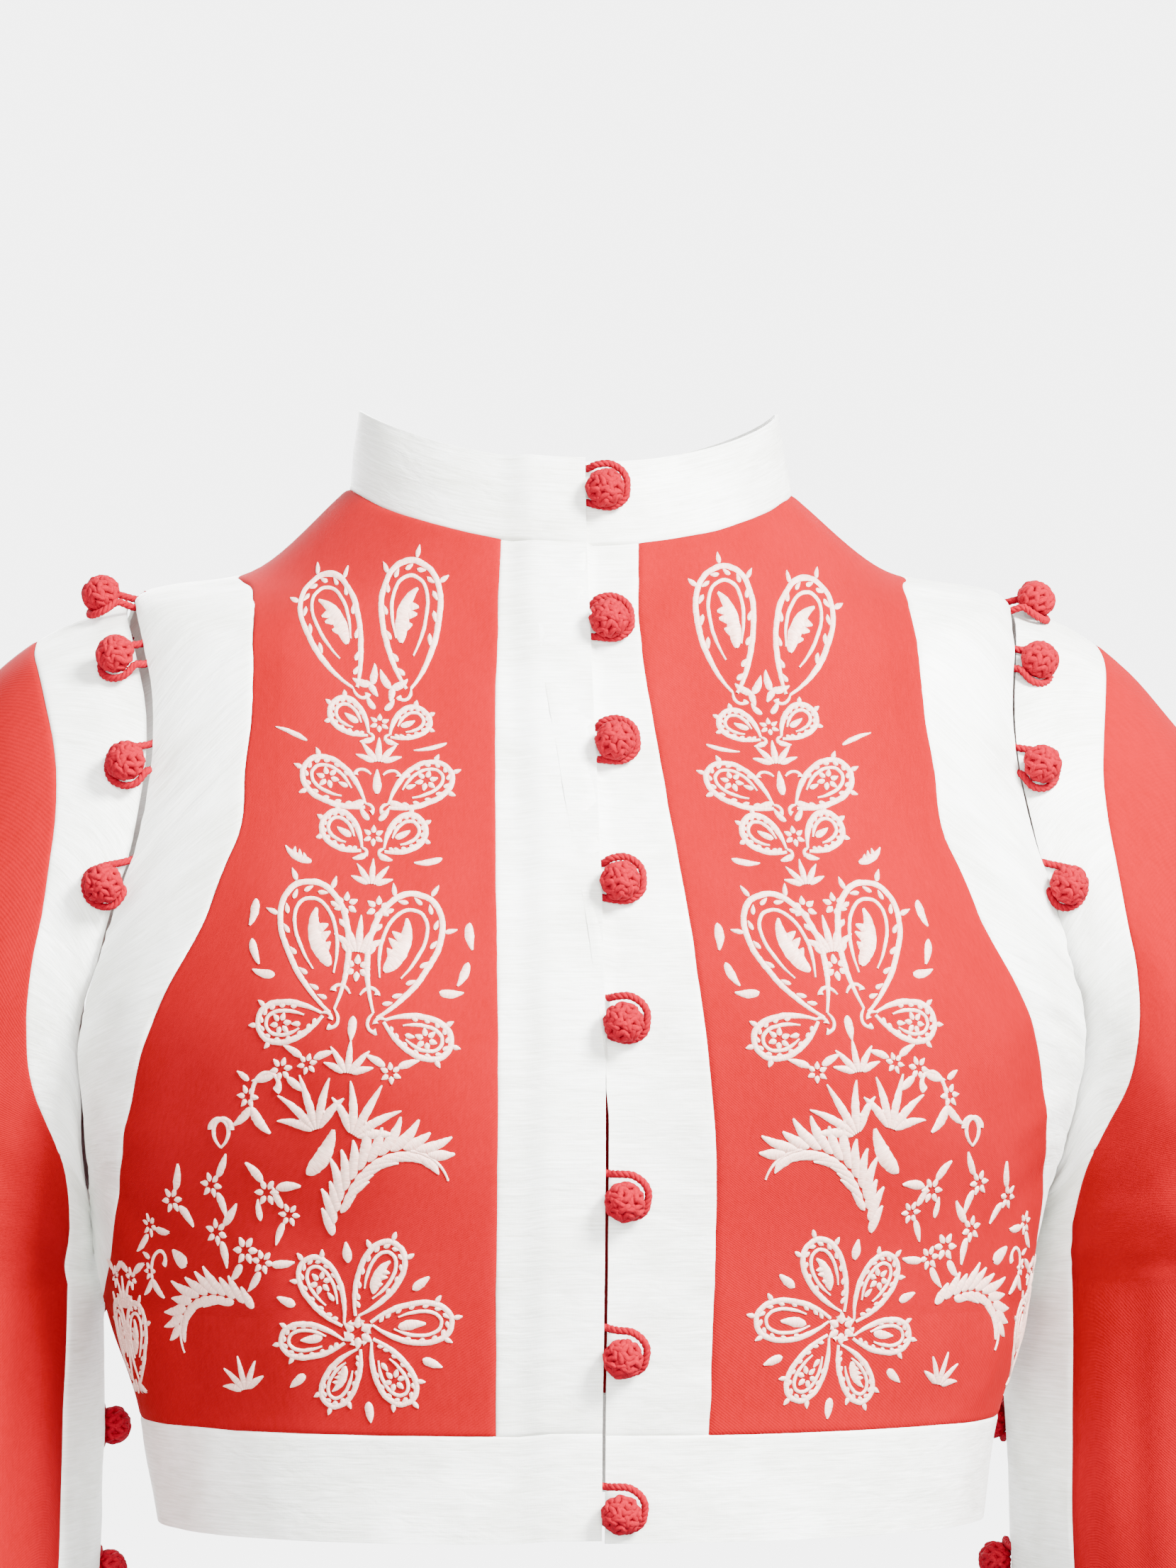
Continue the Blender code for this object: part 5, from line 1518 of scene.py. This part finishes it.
def side_motif():
    """The part of the border that wraps round to the side seam."""
    half = moved(paisley(28.0, 15.0, 3.0, "flame"), 2.0, -22.0, -20)
    half += leaf(3.0, -23.0, 320, 8.0, 1.4, 5)
    half += moved(trio(), 8.0, 13.0, -90) + hook(1.6, 4.0, 60, 8.0, -1)
    made = both(half) + moved(palmette(46, 11.0, 1.1), 0, 2.0)
    return made + blossom(0, -6.0, 3.6) + leaf(0, -27, 90, 5, 1.2)


def embroidery_strokes():
    """The whole border of one front, about a column that widens towards the hem and the side."""
    groups = [
        moved(pod(), 33.0, -62.5, 10, 0.98),
        moved(pod(), 41.0, -62.5, -38, 0.96, True),
        moved(bow(), 37.0, -76.0, 0, 0.92),
        leaf(15.5, -82.0, 332, 11.0, 0.9, 2),
        leaf(60.0, -84.5, 28, 11.0, 0.9, -2),
        moved(tulip(), 37.0, -91.0),
        moved(wing_pair(), 37.5, -98.0, 0, 0.94),
        moved(bow(), 38.6, -115.5, 2, 0.94),
        leaf(17.0, -122.5, 338, 9.0, 1.1, 3),
        flame(58.0, -124.0, 10, 10.0, 1.3),
        moved(tulip(), 39.2, -131.5, 4, 0.9),
        moved(crown(), 41.0, -127.0, 6, 0.97),
        moved(lily(), 46.0, -210.0, 30),
        moved(lily(), 58.0, -208.5, -18),
        moved(trio(), 70.0, -189.0, 100),
        moved(hooked_sprig(), 80.0, -207.0, -4),
        leaf(61.0, -222.0, 142, 17.0, 2.8, -2.5),
        moved(both(scroll(0, 0, 40, 17, 6, 24, 1.0)), 92.0, -214.0),
        moved(trio(), 96.0, -226.0, 0, 1.05),
        moved(trio(), 75.0, -228.0, -70, 1.1),
        moved(trio(), 67.0, -235.0, 175, 0.95),
        moved(trio(), 94.0, -241.0, 10, 1.1),
        blossom(82.5, -246.5, 3.9, 60),
        leaf(77.0, -237.0, 70, 7.0, 1.2, 3),
        leaf(84.0, -251.0, 300, 7.0, 1.5, 3),
        moved(plume(58, -2.55, 12.0), 52.0, -243.0, 6, 1.0, True),
        moved(rosette(), 44.0, -272.0, 0, 0.95),
        moved(trio(), 76.0, -250.0, 60),
        moved(plume(48, -2.9, 10.5), 79.0, -266.0, -62),
        moved(palmette(60, 11.0, 1.2), 84.0, -292.0, -14),
        moved(trio(), 112.0, -231.0, -15, 1.1),
        leaf(107.0, -252.0, 20, 8.5, 2.4, 3),
        moved(trio(), 126.0, -240.0, 70),
        moved(hooked_sprig(), 124.0, -262.0, -10, 0.8),
        moved(side_motif(), 146.0, -270.0, 0, 0.95),
    ]
    return [stroke for group in groups for stroke in group]


# A chart of the fronts: lengths round the body at close levels and angles, for placing the strokes
CHART_LEVELS = np.linspace(HEM_SEAM_LEVEL, NECK_LEVEL, 240)
CHART_ANGLES = np.linspace(0.0, 125.0, 420)
CHART_LENGTHS = lengths_along(body(CHART_ANGLES[:, None], CHART_LEVELS[None])).T
CHART_HEIGHTS = body(35.0, CHART_LEVELS)[:, 2]


def on_panel(from_seam, height, seam_rows):
    """The angle and level of a place on a front: metres from the placket's seam and height."""
    level = np.interp(height, CHART_HEIGHTS, CHART_LEVELS)
    place = np.interp(level, CHART_LEVELS, np.arange(len(CHART_LEVELS)))
    row = np.minimum(place.astype(int), len(CHART_LEVELS) - 2)
    seam = angle_of_line(seam_rows, CHART_LEVELS)
    angle = np.zeros_like(from_seam)
    for index in np.unique(row):
        here = row == index
        found = []
        for step in (index, index + 1):
            start = np.interp(seam[step], CHART_ANGLES, CHART_LENGTHS[step])
            found.append(np.interp(start + from_seam[here], CHART_LENGTHS[step], CHART_ANGLES))
        part = place[here] - index
        angle[here] = found[0] * (1 - part) + found[1] * part
    return angle, level


def make_embroidery(strokes, thread):
    """Satin-stitched ribbons, arched up from each front along the strokes."""
    for name, side, seam_rows in SIDES:
        flat, rise, faces, uvs, count = [], [], [], [], 0
        for number, (path, half) in enumerate(strokes):
            along = unit(np.gradient(path, axis=0) + 1e-9)
            aside = np.stack((-along[:, 1], along[:, 0]), -1)
            length = lengths_along(path)
            other, ragged = [
                1 + THREAD_RAGGED * uneven(length / RAGGED_LENGTH, number * pace, seed)
                for pace, seed in ((0.53, 73), (0.37, 71))
            ]
            top = THREAD_RISE + MILLIMETRE * THREAD_RISE_BY_WIDTH * half
            for across, up in RIBBON:
                edge = ragged if across > 0 else other
                flat.append(path + aside * (across * half * edge)[:, None])
                rise.append(up * top - (up == 0) * THREAD_EDGE_DEPTH)
                uvs.append(np.stack((length, across * half), -1) * MILLIMETRE)
            points = len(path)
            for k in range(len(RIBBON) - 1):
                low = count + k * points + np.arange(points - 1)
                faces.append(np.stack((low, low + points, low + points + 1, low + 1), -1))
            count += len(RIBBON) * points
        flat, rise = np.concatenate(flat) * MILLIMETRE, np.concatenate(rise)
        angle, level = on_panel(flat[:, 0], flat[:, 1], seam_rows)
        angle = angle * side
        points = lifted(body(angle, level), angle)
        height = body_fold(angle, level) + SHELL / 2 + rise
        points = points + body_normal(angle, level) * height[:, None]
        faces = np.concatenate(faces)
        if side < 0:
            faces = faces[:, ::-1]
        piece = mesh_object(f"embroidery_{name}", points, faces, np.concatenate(uvs), thread)


# The camera stands to the wearer's right of the middle, turned so by degrees
CAMERA_TURN, CAMERA_DISTANCE, CAMERA_HEIGHT = -5.5, 2.1, -0.150
CAMERA_SHIFT, SENSOR, PHOTO_HEIGHT = (0.0115, 0.1025), 36.0, 0.520
WORLD_GLOW, SWEEP_GLOW = 0.75, 5.2
# The round room: its floor, wall, the rounding between them and its ceiling
FLOOR, WALL, CORNER, CEILING, ROOM_TURNS = -1.5, 14.0, 2.0, 12.0, 48
# Area lights: place, size and watts; each is aimed at the bolero's middle
AIM = Vector((0.0, 0.0, -0.2))
LIGHTS = (
    ("key", (1.25, -1.5, 1.25), (0.7, 0.7), 415),
    ("fill", (-1.7, -1.5, 0.3), (1.4, 1.6), 22),
    ("back", (-0.5, 2.2, 0.9), (1.4, 1.4), 150),
    ("front", (-0.1, -2.3, 0.1), (1.2, 1.2), 116),
)


def linked(name, data):
    """A new object in the scene's own collection."""
    thing = bpy.data.objects.new(name, data)
    bpy.context.scene.collection.objects.link(thing)
    return thing


def make_room():
    """A pale round room that gives light but takes no shadow."""
    profile = [(0.0, FLOOR)]
    for angle in np.linspace(0.0, math.pi / 2, 9):
        reach = CORNER * (1 - math.sin(angle))
        profile.append((WALL - reach, FLOOR + CORNER * (1 - math.cos(angle))))
    profile += [(WALL, CEILING), (0.0, CEILING)]
    vertices, faces = [], []
    for turn in np.linspace(0, 2 * math.pi, ROOM_TURNS, endpoint=False):
        vertices += [(r * math.cos(turn), r * math.sin(turn), z) for r, z in profile]
    for turn in range(ROOM_TURNS):
        here, there = turn * len(profile), (turn + 1) % ROOM_TURNS * len(profile)
        for k in range(len(profile) - 1):
            faces.append((here + k, there + k, there + k + 1, here + k + 1))
    mesh = bpy.data.meshes.new("sweep")
    mesh.from_pydata(vertices, [], faces)
    mesh.shade_smooth()
    look = Look("sweep_look")
    look.set(
        look.shader, Base_Color=(0.05, 0.05, 0.05, 1.0), Roughness=1.0,
        Emission_Color=WHITE, Emission_Strength=SWEEP_GLOW,
    )
    mesh.materials.append(look.material)
    sweep = linked("sweep", mesh)
    sweep.visible_diffuse = False
    sweep.visible_shadow = False


def make_lights():
    """An even glow from all round, and soft lights from the front, both sides and behind."""
    world = bpy.data.worlds.new("studio")
    bpy.context.scene.world = world
    world.use_nodes = True
    background = world.node_tree.nodes["Background"]
    background.inputs["Color"].default_value = WHITE
    background.inputs["Strength"].default_value = WORLD_GLOW
    for name, place, size, watts in LIGHTS:
        light = bpy.data.lights.new(name, "AREA")
        light.shape = "RECTANGLE"
        light.size, light.size_y = size
        light.energy = watts
        lamp = linked(name, light)
        lamp.rotation_mode = "QUATERNION"
        lamp.rotation_quaternion = (AIM - Vector(place)).to_track_quat("-Z", "Y")
        lamp.location = place


def make_camera():
    camera = bpy.data.cameras.new("photo_view")
    camera.sensor_fit = "VERTICAL"
    camera.sensor_height = SENSOR
    camera.lens = SENSOR * CAMERA_DISTANCE / PHOTO_HEIGHT
    camera.shift_x, camera.shift_y = CAMERA_SHIFT
    eye = linked("photo_view", camera)
    turn = math.radians(CAMERA_TURN)
    across, back = math.sin(turn) * CAMERA_DISTANCE, -math.cos(turn) * CAMERA_DISTANCE
    eye.location = (across, back, CAMERA_HEIGHT)
    eye.rotation_euler = (math.pi / 2, 0.0, turn)
    bpy.context.scene.camera = eye


def build():
    red, cream, cord = red_crepe(), cream_silk(), red_cord()
    make_fronts(red)
    make_embroidery(embroidery_strokes(), satin_thread())
    make_back(red)
    make_plackets(cream)
    make_hem_bands(cream)
    make_armhole_bands(cream)
    make_collar(cream)
    make_sleeves(red, cream)
    make_front_buttons(cord)
    for name, side, _ in SIDES:
        make_armhole_buttons(name, side, cord)
        make_slit_buttons(name, side, cord)
    make_room()
    make_lights()
    make_camera()


build()
